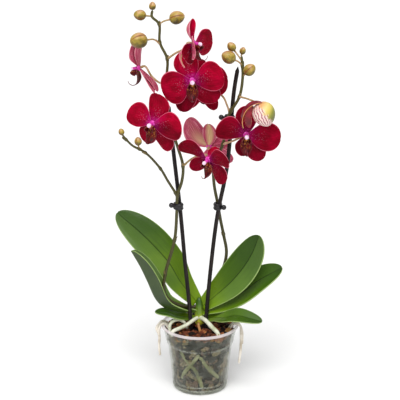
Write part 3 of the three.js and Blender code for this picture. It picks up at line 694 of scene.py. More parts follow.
leaves = {  # the last entry of each leaf paints light on its left and right half, from painted shade at -1 to painted gloss at 1
    "leaf_left_big": {
        "spine": [(-5, 5, 137), (-31, 14, 168), (-47, 21, 194), (-68, 29, 217), (-93, 38, 240),
                  (-129, 50, 268)],
        "facing": (0.4, -0.85, 0.35), "half": 29, "fold": 14, "shine": (0.2, -0.08)},
    "leaf_left_folded": {
        "spine": [(-4, 4, 119), (-22, 3.4, 121), (-36, -8.6, 127.4), (-57, -19, 140),
                  (-68, -22, 154), (-79, -24, 181), (-90, -24, 206), (-104, -24, 232)],
        "facing": (0.75, -0.1, 0.62), "half": 26, "fold": 64, "shine": (-0.75, 0.3)},
    "leaf_left_low": {
        "spine": [(-4, 2, 111), (-22, -1, 114.5), (-36, -10, 120), (-52, -18, 129),
                  (-69, -24, 132)],
        "facing": (0.1, -0.4, 0.9), "half": 10, "fold": 12, "shine": (0.0, 0.0)},
    "leaf_right_big": {
        "spine": [(3.5, 4, 130), (33, 9, 154), (48, 11, 168), (66, 13, 190), (80, 13, 214),
                  (91, 12, 244)],
        "facing": (-0.35, -0.85, 0.4), "half": 28, "fold": 18, "shine": (-0.25, 0.2)},
    "leaf_right_long": {
        "spine": [(2, 4, 122), (36, 12, 132), (62, 17, 145), (92, 16, 169), (127, 10, 192)],
        "facing": (-0.3, -0.6, 0.75), "half": 24, "fold": 14, "shine": (0.1, 0.0)},
    "leaf_right_low": {
        "spine": [(1, 4, 109), (20, 2, 112), (38, -14, 119), (58, -34, 130), (94, -50, 127)],
        "facing": (-0.05, -0.5, 0.85), "half": 14, "fold": 14, "shine": (0.1, -0.2)},
}
leafLook = {
    "rows": 70, "columns": 26, "thickness": 1.7, "foot": 0.36, "widest": 0.58, "wave": 0.9,
    "tip": "#2B4A06", "mid": "#385A08", "bright": "#4E7008", "base": "#70900E",
    # of these, the greyish gloss colour is a painted reflection, dark a painted shade, rib the
    # painted shade in the rib's groove and edge a painted highlight along the margin
    "veins": "#1C3404", "rib": "#122006", "gloss": "#7A925C", "dark": "#0C1A04", "edge": "#A0B870",
}


# half width of a blade from its claw (the narrow foot) to its rounded tip, 1 where it is widest
def outline(u, claw, widest, blunt=2.0):
    if u < widest:
        return claw + (1 - claw) * math.sin(math.pi / 2 * u / widest)
    return max(1 - ((u - widest) / (1 - widest)) ** blunt, 0) ** (1 / blunt)


# sets the rows of a blade closer together towards its tip
def reachOf(u, crowding, tipShare):
    return tipShare * (1 - (1 - u) ** crowding)


def leafMaterials(look):
    mat, shader = newMaterial("leafTop", 0.3, Specular_IOR_Level=0.22)
    u, v = axes(ownUv(mat))[:2]
    across = awayFrom(u, 0.5)
    cloud = noiseFac(objectPlace(mat), 13, 2)
    veins = noiseFac(ownUv(mat, (34, 1.2, 1)), 3.0, 2)
    level = maths("ADD", v, between(cloud, 0.3, 0.7, -0.16, 0.16))
    body = ramp(level, [(0.0, look["base"]), (0.3, look["bright"]), (0.62, look["mid"]),
                        (1.0, look["tip"])])
    body = tint(body, look["veins"], veins, 0.4, 0.65, 0.0, 0.28)
    # painted light: a glossy half is tinted towards a painted reflection, a dark half towards
    # painted shade
    shine = attribute(mat, "shine")
    body = mixColor(maths("MAXIMUM", shine, 0.0), body, look["gloss"])
    body = mixColor(maths("MAXIMUM", maths("MULTIPLY", shine, -1.0), 0.0), body, look["dark"])
    # painted shade: a dark line in the groove along the rib
    body = tint(body, look["rib"], across, 0.006, 0.02, 0.85, 0.0)
    # painted highlight: a pale line along the margin of the leaf's top
    setColor(shader, tint(body, look["edge"], across, 0.474, 0.492, 0.0, 0.85))
    feed(between(noiseFac(objectPlace(mat), 60), 0.3, 0.7, 0.27, 0.42), shader.inputs["Roughness"])
    groove = between(across, 0.0, 0.03, 0.0, 1.0)
    addBump(shader, maths("ADD", groove, maths("MULTIPLY", veins, 0.25)), 0.5, 0.0012)
    back, backShader = newMaterial("leafBack", 0.45)
    backBody = ramp(noiseFac(objectPlace(back), 30), [(0.3, "#3E5E1A"), (0.7, "#62822E")])
    # painted shade on the leaf's back, from the same painted light
    shade = maths("MULTIPLY", attribute(back, "shine"), -1.0, True)
    setColor(backShader, mixColor(shade, backBody, look["dark"]))
    return [mat, back, mottled("leafRim", 0.4, 50, [(0.3, "#7E9A4A"), (0.7, "#A6BC72")])]


def makeLeaf(name, leaf, mats, look, number):
    count = 400
    line = smoothLine(leaf["spine"], count + 1)
    upper = Vector(leaf["facing"]).normalized()
    fold, half = math.radians(leaf["fold"]), leaf["half"] * mm

    def place(u, v):
        along = reachOf(u, 1.6, 0.9985)
        at = min(along * count, count - 1e-6)
        index = int(at)
        point = line[index].lerp(line[index + 1], at - index)
        tangent = (line[min(index + 3, count)] - line[max(index - 3, 0)]).normalized()
        lift = (upper - tangent * upper.dot(tangent)).normalized()
        width = half * outline(along, look["foot"], look["widest"])
        valley = math.sqrt(v * v + 0.004) - 0.063  # a fold that is round at the rib
        wave = look["wave"] * mm * math.sin(9 * along + 2.1 * number + 1.3 * v)
        wave *= v * v * math.sin(math.pi * along)
        curl = 0.05 * width * max(abs(v) - 0.7, 0) / 0.3
        point = point + tangent.cross(lift) * v * width * math.cos(fold)
        return point + lift * (valley * width * math.sin(fold) + wave - curl)

    bm = bmesh.new()
    paintedLightLayer = bm.verts.layers.float.new("shine")
    # the painted light changes from the left half's value to the right half's across the rib
    left, right = leaf["shine"]
    for vert, (across, along) in addBlade(bm, look["rows"], look["columns"], place):
        shine = left + (right - left) * smoothstep(0.5 + 9 * (across - 0.5))
        vert[paintedLightLayer] = shine * smoothstep(along * 4)  # no painted light at the foot
    bm = thicken(bm, look["thickness"])
    finishPiece(bm, camel(name), name, mats)


print("leaves")
leafMats = leafMaterials(leafLook)
for number, (name, leaf) in enumerate(leaves.items()):
    makeLeaf(name, leaf, leafMats, leafLook, number)

# each tepal: turn in the bloom's plane, length, width, and what differs from its form
# a tepal's tone below 1 is painted shade over all of it, and its side shade is painted shade over
# one side across it
blooms = {
    "bloom_top": {
        "hub": (-11, -36, 497), "turn": 0, "nod": 2, "size": 47, "spike": "spike_left",
        "stalk": [(-48, -3, 484), (-34, -8, 489), (-18, -19, 496)],
        "sepals": [(252, 50, 30, {"tone": 0.42}), (322, 48, 33, {"bow": -2, "tone": 0.6}),
                   (102, 46, 36, {"bow": 4, "tone": 0.95})],
        "petals": [(195, 46, 50, {"bow": 3, "tone": 0.78}), (7, 46, 45, {"bow": 4, "dim": 0.25})]},
    "bloom_high": {
        "hub": (-8.6, -44, 553), "turn": 58, "nod": 0, "size": 40, "spike": "spike_left",
        "stalk": [(-48, -3, 522), (-34, -10, 533), (-23, -19, 540)],
        "sepals": [(222, 27, 30, {"bow": 2, "tone": 0.62}), (264, 30, 22, {"tone": 0.4}),
                   (240, 37, 7, {"bow": -3, "sag": -10, "turnedOver": True, "cream": 1.0}),
                   (84, 35, 16, {"bow": 5, "sag": -7, "arch": -36, "cream": 1.0})],
        "petals": [(183, 38, 34, {"bow": 1, "lift": 35, "depth": -1.6}),
                   (357, 44, 39, {"bow": -1, "tone": 0.85, "dim": -0.2})]},
    "bloom_left": {
        "hub": (-69.3, -46, 435.7), "turn": -22, "nod": 2, "size": 45, "spike": "spike_left",
        "stalk": [(-42, -3, 420), (-54, -18, 422), (-65, -28, 429)],
        "sepals": [(247, 34, 29, {"bow": -2, "tone": 0.55}),
                   (303, 47, 27, {"bow": 2, "tone": 0.58}),
                   (80, 45, 33, {"bow": -5, "widest": 0.64, "tone": 0.8})],
        "petals": [(157, 40, 40, {"bow": -3, "tone": 0.92}),
                   (351, 48.5, 41, {"bow": 4.5, "dim": 0.55})]},
    "bloom_low": {
        "hub": (11.8, -36, 378.5), "turn": -34, "nod": 17, "size": 40, "spike": "spike_left",
        "stalk": [(-25.5, -3, 359), (-12, -8, 372), (2, -12, 379)],
        "sepals": [(207, 34, 21, {"lift": 25, "tone": 0.4}),
                   (288, 45, 27, {"bow": 5, "tone": 0.55}), (60, 24, 18, {"lift": -62})],
        "petals": [(160, 50, 27, {"bow": -7.5, "tone": 0.48}),
                   (4, 40, 29, {"bow": 6, "tone": 0.5})]},
    "bloom_right": {
        "hub": (67.2, -36, 416), "turn": 4, "nod": 2, "size": 47, "spike": "spike_right",
        "stalk": [(35, 2, 392), (50, -9, 400), (64, -20, 411)],
        "sepals": [(263, 34, 24, {"bow": -1, "tone": 0.35}), (301, 47, 30, {"tone": 0.48}),
                   (89, 43, 31.5, {"tone": 0.5})],
        "petals": [(168, 46, 35.5, {"bow": -6, "tone": 0.5}), (354, 51, 44, {"tone": 0.68})]},
    "bloom_back": {
        "hub": (14, 40, 377), "turn": 166, "nod": 0, "size": 46, "spike": "spike_right",
        "stalk": [(29, 5, 378), (21, 14, 380)],
        "sepals": [(205, 42, 20, {}), (270, 30, 22, {}), (90, 37, 22, {"bow": 2, "cream": 1.0})],
        "petals": [(50, 54, 34, {"bow": -5.5, "claw": 0.34, "widest": 0.5, "cream": 0.85,
                                 "fade": 0.9}), (165, 34, 26, {})]},
    "bloom_behind": {
        "hub": (2, 14, 480), "turn": 15, "nod": 0, "size": 45, "spike": "spike_right",
        "stalk": [(43.5, -4.5, 443), (40, 14, 449), (34, 30, 458), (12, 34, 474)],
        "sepals": [(240, 40, 26, {}), (300, 47, 21, {"bow": 1, "tone": 0.8}), (95, 38, 28, {})],
        "petals": [(176, 42, 44, {}), (10, 40, 46, {"tone": 0.75})]},
    "bloom_side": {
        "hub": (-89.6, 6, 507.3), "turn": -112, "nod": 15, "size": 42, "spike": "spike_left",
        "stalk": [(-49, -2, 486), (-58, -3, 486), (-71, -1, 496)],
        "sepals": [(260, 44, 14, {"lift": -18}), (274, 44, 14, {"lift": -16}),
                   (90, 38, 24, {"lift": -12, "arch": -10})],
        "petals": [(75, 38, 27, {"lift": -12, "arch": -12}),
                   (105, 38, 27, {"lift": -12, "arch": -12})]},
}
plainTepal = {"bow": 0, "lift": 0, "sag": 0, "tone": 1, "dim": 0, "cream": 0, "fade": 0,
              "turnedOver": False}
tepalForms = {
    "petal": {**plainTepal, "claw": 0.16, "widest": 0.58, "depth": 0.9, "cup": 3, "arch": 8},
    "sepal": {**plainTepal, "claw": 0.3, "widest": 0.52, "depth": -1.4, "cup": -3, "arch": 9},
}
petalLook = {
    "rows": 34, "columns": 26, "thickness": 0.75, "ruffle": 0.9, "start": 3, "hub": 5,
    "heart": "#D01888", "inner": "#A80040", "face": "#A60026", "deep": "#5A000C",
    # the near-black dark colour is the painted shade of the tepals
    "bright": "#CA0036", "edge": "#E8708C", "dots": "#F3A4C4", "dark": "#1C0003",
    "backEdge": "#E6A0A8", "backPink": "#C2456A", "backLine": "#EFA0AE", "backDeep": "#96203C",
    "backCream": "#EBCB9C", "backOlive": "#B08A58",
}


# from a bloom's own frame, with its face along +Z, to its place on the plant
def bloomMatrix(bloom):
    turn, nod = math.radians(bloom["turn"]), math.radians(bloom["nod"])
    aim = Matrix.Rotation(turn, 4, "Z") @ Matrix.Rotation(math.pi / 2 + nod, 4, "X")
    return Matrix.Translation(Vector(bloom["hub"]) * mm) @ aim


def petalFace(look):
    mat, shader = newMaterial("petalFace", 0.55, Specular_IOR_Level=0.04)
    u, along = axes(ownUv(mat))[:2]
    across = awayFrom(u, 0.5)
    veins = noiseFac(ownUv(mat, (30, 2.0, 1)), 2.2, 3, 0.5)
    shade = noiseFac(objectPlace(mat), 60, 3)
    body = ramp(along, [(0.0, look["heart"]), (0.04, look["heart"]), (0.13, look["inner"]),
                        (0.3, look["face"]), (1.0, look["face"])])
    body = tint(body, look["bright"], shade, 0.48, 0.7, 0.0, 0.8)
    body = tint(body, look["deep"], shade, 0.5, 0.3, 0.0, 0.4)
    body = tint(body, look["deep"], veins, 0.44, 0.66, 0.0, 0.6)
    cells = {"Vector": ownUv(mat, (15, 24, 1)), "Scale": 1.5}
    dots = between(addNode(mat.node_tree, "TexVoronoi", cells).outputs["Distance"],
                   0.16, 0.24, 0.9, 0.0)
    near = maths("MULTIPLY", between(along, 0.46, 0.18, 0.0, 0.9), between(across, 0.3, 0.16))
    body = mixColor(maths("MULTIPLY", dots, near, True), body, look["dots"])
    # painted shade: each tepal's tone darkens it towards the dark colour
    body = mixColor(attribute(mat, "tone"), look["dark"], body)
    ragged = maths("ADD", across, between(veins, 0.3, 0.7, -0.006, 0.006))
    rimLine = maths("MAXIMUM", between(ragged, 0.472, 0.486, 0.0, 0.75),
                    between(along, 0.984, 0.994, 0.0, 0.75))
    setColor(shader, mixColor(rimLine, body, look["edge"]))
    addBump(shader, veins, 0.5, 0.0008)
    return mat


def petalBack(look):
    mat, shader = newMaterial("petalBack", 0.55, Specular_IOR_Level=0.2)
    across = awayFrom(axes(ownUv(mat))[0], 0.5)
    lines = noiseFac(ownUv(mat, (22, 1.1, 1)), 2.6, 2, 0.3)
    ground = tint(look["backPink"], look["backDeep"], lines, 0.36, 0.5, 0.8, 0.0)
    ground = tint(ground, look["backLine"], lines, 0.52, 0.64, 0.0, 0.75)
    middle = maths("MULTIPLY", between(across, 0.36, 0.10), attribute(mat, "cream"))
    pale = tint(look["backCream"], look["backOlive"], lines, 0.42, 0.6, 0.0, 0.6)
    ground = mixColor(middle, ground, pale)
    setColor(shader, tint(ground, look["backEdge"], across, 0.46, 0.49))
    return mat


def addTepal(bm, kind, row, look, phase):
    turn, length, width, bend = row
    form = {**tepalForms[kind], **bend}
    angle, lift = math.radians(turn), math.radians(form["lift"])
    outward = Vector((math.cos(angle), math.sin(angle), 0))
    across = Vector((-outward.y, outward.x, 0))
    along = outward * math.cos(lift) + Vector((0, 0, math.sin(lift)))
    face = along.cross(across)
    start = outward * look["start"] + Vector((0, 0, form["depth"]))
    hand = 1 if form["turnedOver"] else -1

    def place(u, v):
        reach = reachOf(u, 1.7, 0.9985)
        half = width / 2 * outline(reach, form["claw"], form["widest"], 2.2)
        height = form["cup"] * math.sin(math.pi / 2 * reach) ** 2
        height -= form["arch"] * (v * half / width) ** 2
        height += form["sag"] * math.sin(math.pi * reach)
        wave = math.sin(7 * reach + phase + 2.2 * v) * abs(v) ** 3
        height += look["ruffle"] * wave * smoothstep(reach * 2)
        height -= 0.5 * math.exp(-(v * 7) ** 2) * smoothstep((1 - reach) * 3)  # the crease
        side = form["bow"] * math.sin(math.pi * reach) + hand * v * half
        far = (length - look["start"]) * reach
        return (start + along * far + across * side + face * height) * mm

    toneLayer, creamLayer = bm.verts.layers.float["tone"], bm.verts.layers.float["cream"]
    for vert, (u, v) in addBlade(bm, look["rows"], look["columns"], place):
        # painted shade over the whole tepal, deeper on one side across it where it has a side
        # shade
        shaded = smoothstep(0.5 + 3 * (u - 0.5) * (1 if form["dim"] > 0 else -1))
        vert[toneLayer] = form["tone"] * (1 - abs(form["dim"]) * shaded)
        vert[creamLayer] = form["cream"] * (1 - form["fade"] * smoothstep(v * 1.8))


def makePetals(name, bloom, mats, look, number):
    bm = bmesh.new()
    bm.verts.layers.float.new("tone")
    bm.verts.layers.float.new("cream")
    rows = [(kind, row) for kind in ("sepal", "petal") for row in bloom[kind + "s"]]
    for i, (kind, row) in enumerate(rows):
        addTepal(bm, kind, row, look, number * 1.37 + i * 1.9)
    bm = thicken(bm, look["thickness"])
    hub = bmesh.ops.create_uvsphere(bm, u_segments=20, v_segments=10, radius=look["hub"] * mm,
                                    matrix=Matrix.Diagonal((1, 1, 0.48, 1)))
    useSlot(hub["verts"], 3)
    bmesh.ops.transform(bm, matrix=bloomMatrix(bloom), verts=bm.verts)
    finishPiece(bm, camel(name) + "Petals", name + "_petals", mats)


lipLook = {
    "foot": 3.0, "thickness": 0.8,
    "midPath": [(0, -1.2, 1.6), (0, -10, 2.2), (0, -19, 4.5), (0, -25, 9.5), (0, -26, 16),
                (0, -22, 21.5), (0, -17, 22.5)],
    "midHalf": 8, "wingSpread": 3.6, "wingFlare": 3.0, "wingDrop": 11, "wingHalf": 5.2,
    "wingForward": 6.6,
    "heart": [(0, 0), (2.6, 0.1), (3.0, 1), (2.7, 4), (2.9, 6.5)],
    "column": [(2.9, 6.5), (3.2, 7.6), (3.3, 8.8), (3.0, 10.2), (2.3, 11.2), (1.2, 11.8), (0, 12)],
}


def lipVelvet():
    mat, shader = newMaterial("lipVelvet", 0.45, Specular_IOR_Level=0.15)
    u, along = axes(ownUv(mat))[:2]
    wide = noiseFac(ownUv(mat, (10, 3, 1)), 1.6, 3, 0.5)
    body = ramp(wide, [(0.35, "#2C0006"), (0.55, "#560008"), (0.72, "#780812")])
    specks = between(noiseFac(objectPlace(mat), 620, 2, 0.6), 0.55, 0.62, 0.0, 0.95)
    high = between(along, 0.45, 0.1, 0.0, 1.0)
    body = mixColor(maths("MULTIPLY", specks, high, True), body,
                    ramp(wide, [(0.4, "#C0601C"), (0.6, "#E2A24A")]))
    tip = maths("MAXIMUM", between(awayFrom(u, 0.5), 0.42, 0.5, 0.0, 0.25),
                between(along, 0.75, 1.0, 0.0, 0.45))
    setColor(shader, mixColor(tip, body, "#A24660"))
    addBump(shader, wide, 0.5, 0.0005)
    return mat


# half width along the lip's middle lobe: a waist, a broad belly and a narrow curled tip
def lipOutline(u):
    belly = math.sin(math.pi * min(u / 0.68, 1)) ** 1.2
    return 0.30 * (1 - u) + 0.74 * belly + 0.12 * math.sqrt(max(1 - u, 0))


def makeLip(name, bloom, mats, look):
    scale = bloom["size"] / 46
    foot = look["foot"] / scale
    count = 200
    middle = smoothLine(look["midPath"], count + 1)

    def midPlace(u, v):
        u *= 0.995
        i = int(u * count)
        point = middle[i].lerp(middle[i + 1], u * count - i) / mm
        tangent = (middle[min(i + 2, count)] - middle[max(i - 1, 0)]).normalized()
        normal = tangent.cross(Vector((1, 0, 0)))
        half = look["midHalf"] * lipOutline(u)
        return (point + Vector((v * half, 0, foot)) + normal * (-0.3 * half * v * v)) * mm

    sheet = bmesh.new()
    addBlade(sheet, 36, 14, midPlace)
    for side in (1, -1):
        def wingPlace(u, v):
            half = look["wingHalf"] * outline(reachOf(u, 1.5, 0.995), 0.45, 0.5)
            spread = look["wingSpread"] * min(u * 4, 1)
            spread += look["wingFlare"] * math.sin(math.pi * u) * (0.6 + 0.4 * v)
            forward = look["wingForward"] * (0.6 + 0.4 * min(u * 3, 1)) + half * v
            return Vector((side * spread, -0.6 - look["wingDrop"] * u, foot + forward)) * mm

        addBlade(sheet, 14, 12, wingPlace)
    bm = thicken(sheet, look["thickness"], 0, 0)
    for slot, profile in ((2, look["heart"]), (1, look["column"])):
        spinProfile(bm, [(r, foot + z) for r, z in profile], 20, slot)
    spot = Matrix.Translation(Vector((0, -4.2, foot + 3.6)) * mm)
    callus = bmesh.ops.create_uvsphere(bm, u_segments=16, v_segments=10, radius=2.6 * mm,
                                       matrix=spot @ Matrix.Diagonal((1, 1.1, 0.7, 1)))
    useSlot(callus["verts"], 3)
    bmesh.ops.transform(bm, matrix=bloomMatrix(bloom) @ Matrix.Diagonal((scale, scale, scale, 1)),
                        verts=bm.verts)
    finishPiece(bm, camel(name) + "Lip", name + "_lip", mats)


print("blooms")
heartSkin = mottled("heartSkin", 0.4, 200, [(0.3, "#C8189A"), (0.7, "#F04CC0")], 2)
petalMats = [petalFace(petalLook), petalBack(petalLook),
             mottled("petalRim", 0.5, 120, [(0.3, "#D0506E"), (0.7, "#EE9CA8")]), heartSkin]
lipMats = [lipVelvet(),
           mottled("columnSkin", 0.35, 260, [(0.3, "#F7B8E4"), (0.6, "#FFE6F6")], 2,
                   Subsurface_Weight=0.15, Subsurface_Scale=0.003),
           heartSkin,
           mottled("callusSkin", 0.35, 700,
                   [(0.42, "#E8B040"), (0.52, "#C04A18"), (0.6, "#8A1418")], 2)]
for number, (name, bloom) in enumerate(blooms.items()):
    makePetals(name, bloom, petalMats, petalLook, number)
    makeLip(name, bloom, lipMats, lipLook)

buds = {
    "bud_left_tip": {"spike": "spike_left", "radius": 5.2, "at": (-68.4, -10, 601),
        "stalk": [(-68.5, -10, 595)]},
    "bud_left_far": {"spike": "spike_left", "radius": 7.8, "at": (-86.5, -11, 588),
        "stalk": [(-69.5, -10, 586), (-74, -10, 586.5)]},
    "bud_left_near": {"spike": "spike_left", "radius": 9.8, "at": (-33.4, -9, 584),
        "stalk": [(-59.3, -6, 574), (-52, -7, 578.5)]},
    "bud_left_big": {"spike": "spike_left", "radius": 11.6, "at": (-88, -30, 554.5),
        "stalk": [(-58.5, -4, 544.5), (-67, -14, 553)]},
    "bud_branch_tip": {"spike": "spike_left", "radius": 4.4, "at": (-114.6, -39.6, 421.6),
        "stalk": [(-113, -39, 416.4)]},
    "bud_branch_low": {"spike": "spike_left", "radius": 5.6, "at": (-91, -27, 404),
        "stalk": [(-90, -25.5, 392)]},
    "bud_right_tip": {"spike": "spike_right", "radius": 4.8, "at": (62.4, 0, 533.5),
        "stalk": [(60.5, 0, 526)]},
    "bud_right_high": {"spike": "spike_right", "radius": 6.4, "at": (46, -3, 540),
        "stalk": [(61.5, -0.5, 518), (55, -2, 528)]},
    "bud_right_near": {"spike": "spike_right", "radius": 9.6, "at": (41.6, -14, 527),
        "stalk": [(62, -1, 512), (56, -8, 519)]},
    "bud_right_low": {"spike": "spike_right", "radius": 8.6, "at": (72.5, -8, 507),
        "stalk": [(62.7, -3, 496)]},
}
budLook = {
    "stretch": 1.14, "seams": 3, "seamWidth": 0.07, "point": 0.06,
    # the tones go from painted shade, dark olive at a bud's bottom, to a painted peach highlight
    # on its top
    "tones": [(0.0, "#3A340C"), (0.3, "#6A5C14"), (0.55, "#988428"), (0.8, "#BA9C4A"),
              (1.0, "#CBA274")],
    "veins": "#7A5A20", "beside": "#A85A28", "seam": "#3A2410",
}
openingBud = {
    "at": (92, -57, 453), "radius": 16.8, "stretch": 1.08, "axis": (0.35, -0.15, -0.92),
    "stalk": [(58, -5, 466), (70, -24, 467), (80, -41, 466), (87, -51, 459)],
    "sepal": {"from": 98, "turn": 117, "flare": 1.16, "half": 7, "tilt": 0.22},
    "heart": {"path": [(-16.4, -2, 12), (-22.3, -2, 0), (-22.4, -3, -12), (-20.4, -3, -20)],
              "half": 5},
    "thickness": 0.9, "veinTurns": 138.0, "pale": "#F1D6CC", "veins": "#9C2C52",
    # the gold runs from peach at the upper left to dark olive, painted shade, at the lower right
    "gold": [(0.0, "#E0A468"), (0.3, "#E8D084"), (0.55, "#D8C45C"), (0.78, "#8E9030"),
             (1.0, "#66681C")],
}


def budDirection(bud):
    return (Vector(bud["at"]) - Vector(bud["stalk"][-1])).normalized()


def budMaterial(look):
    mat, shader = newMaterial("budSkin", 0.4, Subsurface_Weight=0.05, Subsurface_Scale=0.003)
    patch = noiseFac(objectPlace(mat), 130, 3, 0.4)
    # painted light: lighter towards a bud's top and darker towards its bottom, with random patches
    level = maths("ADD", attribute(mat, "sunny"), between(patch, 0.3, 0.7, -0.28, 0.28), True)
    veins = noiseFac(ownUv(mat, (30, 1, 1)), 2.0, 2, 0.3)
    body = tint(ramp(level, look["tones"]), look["veins"], veins, 0.5, 0.66, 0.0, 0.5)
    turn = maths("MULTIPLY", axes(ownUv(mat))[0], float(look["seams"]))
    seam = awayFrom(maths("FRACT", turn), 0.5)
    body = tint(body, look["beside"], seam, 0.04, 0.13, 0.55, 0.0)
    setColor(shader, tint(body, look["seam"], seam, 0.0, 0.04, 0.95, 0.0))
    addBump(shader, patch, 0.4, 0.001)
    return mat


# a bud's egg along axis, with its sepal seams as shallow grooves
def addEgg(bm, center, radius, stretch, axis, slot, groove):
    turn = Vector((0, 0, 1)).rotation_difference(Vector(axis)).to_matrix().to_4x4()
    verts = bmesh.ops.create_uvsphere(bm, u_segments=36, v_segments=24, radius=1,
                                      calc_uvs=True)["verts"]
    useSlot(verts, slot)
    uvLayer = bm.loops.layers.uv.verify()
    for face in facesOf(verts):
        angles = [math.atan2(loop.vert.co.y, loop.vert.co.x) / (2 * math.pi) + 0.5
                  for loop in face.loops]
        wrap = max(angles) - min(angles) > 0.5
        for loop, angle in zip(face.loops, angles):
            up = 0.5 + math.asin(max(min(loop.vert.co.z, 1), -1)) / math.pi
            loop[uvLayer].uv = (angle + 1 if wrap and angle < 0.5 else angle, up)
    for vert in verts:
        x, y, up = vert.co
        third = (math.atan2(y, x) / (2 * math.pi) + 0.5) * budLook["seams"]
        dip = math.exp(-((third - math.floor(third) - 0.5) / budLook["seamWidth"]) ** 2)
        slim = 1 - 0.08 * up - groove * dip * (1 - up * up) ** 0.5
        vert.co = (x * slim, y * slim, up * stretch + budLook["point"] * max(up, 0) ** 8)
    place = Matrix.Translation(Vector(center) * mm) @ turn @ Matrix.Scale(radius * mm, 4)
    bmesh.ops.transform(bm, verts=verts, matrix=place)
    # painted light: each point's height on the egg, from about 0 at its bottom to about 1 at its
    # top
    paintedTopLightLayer = bm.verts.layers.float.new("sunny")
    for vert in bm.verts:
        vert[paintedTopLightLayer] = 0.5 + 0.5 * (vert.co.z / mm - center[2]) / radius


def makeBuds(look):
    mat = budMaterial(look)
    for name, bud in buds.items():
        bm = bmesh.new()
        addEgg(bm, bud["at"], bud["radius"], look["stretch"], budDirection(bud), 0, 0.05)
        finishPiece(bm, camel(name), name, [mat])


# gold above and to the right, darkening to olive towards the lower right as painted shade, pale
# with burgundy veins below and to the left
def openingSkin(look):
    mat, shader = newMaterial("openingSkin", 0.4, Subsurface_Weight=0.08, Subsurface_Scale=0.004)
    wander = noiseFac(objectPlace(mat), 160, 2)
    turn = maths("ADD", maths("MULTIPLY", axes(ownUv(mat))[0], look["veinTurns"]),
                 maths("MULTIPLY", wander, 9.0))
    lines = between(maths("SINE", turn), 0.1, 0.7, 0.0, 0.9)
    pale = mixColor(lines, look["pale"], look["veins"])
    place, at = axes(objectPlace(mat)), look["at"]
    right, up = [maths("MULTIPLY", maths("SUBTRACT", place[i], at[i] * mm), 1 / mm)
                 for i in (0, 2)]
    side = maths("ADD", maths("MULTIPLY", right, 0.78), maths("MULTIPLY", up, 0.62))
    side = maths("ADD", side, between(wander, 0, 1, -6, 6))
    # painted shade: the gold darkens to olive towards the lower right
    paintedShadeSide = maths("SUBTRACT", right, maths("MULTIPLY", up, 0.55))
    gold = ramp(between(paintedShadeSide, -12, 15), look["gold"])
    setColor(shader, tint(pale, gold, side, 0.5, 5.0))
    addBump(shader, lines, 0.3, 0.0006)
    return mat


def makeOpeningBud(look):
    edge = mottled("openingEdge", 0.45, 90, [(0.3, "#C9803A"), (0.7, "#E8B478")])
    inner = mottled("openingInside", 0.5, 120, [(0.3, "#5C0616"), (0.7, "#98082A")])
    at, sepal, heart = Vector(look["at"]), look["sepal"], look["heart"]
    count = 100
    heartLine = smoothLine(heart["path"], count + 1)

    def sepalPlace(u, v):
        angle = math.radians(sepal["from"] + sepal["turn"] * u)
        side = sepal["half"] * v * outline(reachOf(u, 1.4, 0.995), 0.5, 0.5)
        out = look["radius"] * (1 + sepal["flare"] * u) + sepal["tilt"] * side * min(3 * u, 1)
        return (at + Vector((out * math.cos(angle), side - 2, out * math.sin(angle)))) * mm

    def heartPlace(u, v):
        reach = reachOf(u, 1.4, 0.995)
        i = int(reach * count)
        point = heartLine[i].lerp(heartLine[i + 1], reach * count - i)
        half = heart["half"] * outline(reach, 0.3, 0.55)
        return point + (at + Vector((v * half, -0.12 * half * v * v, 0))) * mm

    bm = bmesh.new()
    addBlade(bm, 36, 12, sepalPlace)
    bm = thicken(bm, look["thickness"])
    addEgg(bm, look["at"], look["radius"] * 0.99, look["stretch"], look["axis"], 3, 0.03)
    mats = [inner, edge, edge, openingSkin(look)]
    finishPiece(bm, "openingBud", "opening_bud", mats)
    bm = bmesh.new()
    addBlade(bm, 30, 12, heartPlace)
    bm = thicken(bm, look["thickness"])
    finishPiece(bm, "openingBudHeart", "opening_bud_heart", [inner, inner, edge])


print("buds")
makeBuds(budLook)
makeOpeningBud(openingBud)

spikes = {  # stems with their radii at the foot and at the tip, and the joints on them
    "spike_left": {
        "stems": [
            ([(-4, 3, 132), (-18.7, -2, 131.5), (-29, -12, 138), (-47, -21, 151), (-55, -23, 166),
              (-52.6, -18, 194), (-38.5, -11, 245), (-35, -6, 290), (-34, -5, 314),
              (-27.4, -4, 335), (-25.5, -3, 359), (-35.6, -3, 396), (-48, -3, 443),
              (-49, -2, 494), (-48, -3, 522), (-58.5, -4, 547), (-59.3, -6, 574),
              (-69.5, -10, 586), (-68.5, -10, 595)], 2.65, 1.95),
            ([(-34, -5, 313), (-48, -8, 337), (-59, -13, 358), (-81, -21, 385), (-99, -30, 398),
              (-108, -36, 409), (-113, -39, 416.4)], 2.1, 1.6)],
        "joints": [(-53, -20, 192), (-38.5, -11, 245), (-34, -5, 314), (-25.5, -3, 359),
                   (-48, -3, 522), (-58.5, -4, 547), (-59.3, -6, 574), (-59, -13, 358),
                   (-81, -21, 385), (-89.5, -25, 391), (-108, -36, 409)]},
    "spike_right": {
        "stems": [
            ([(-1, 7, 126), (17, 27, 150), (34, 31, 178), (41, 29, 209), (36, 22, 243),
              (31, 12, 271), (27.5, 8.5, 293), (21, 8, 330), (21, 8, 357), (34, 3, 391),
              (42, -4, 436), (58, -5, 466), (62.7, -3, 495), (62, -1, 512), (60.5, 0, 526)],
             2.65, 2.1)],
        "joints": [(36, 22, 243), (34, 3, 391), (43.5, -4.5, 443), (58, -5, 466), (62, -1, 512)]},
}
stalkForms = {  # foot and tip are added to the radius, over footRun points and from tipFrom on
    "bloom": {"count": 40, "radius": 1.55, "foot": 0.5, "footRun": 6, "tip": 0.35, "tipFrom": 30},
    "bud": {"count": 24, "radius": 1.25, "foot": 0.5, "footRun": 5, "tip": 0.3, "tipFrom": 17},
    "opening": {"count": 40, "radius": 1.4, "foot": 0.4, "footRun": 6, "tip": 0.5, "tipFrom": 30},
}
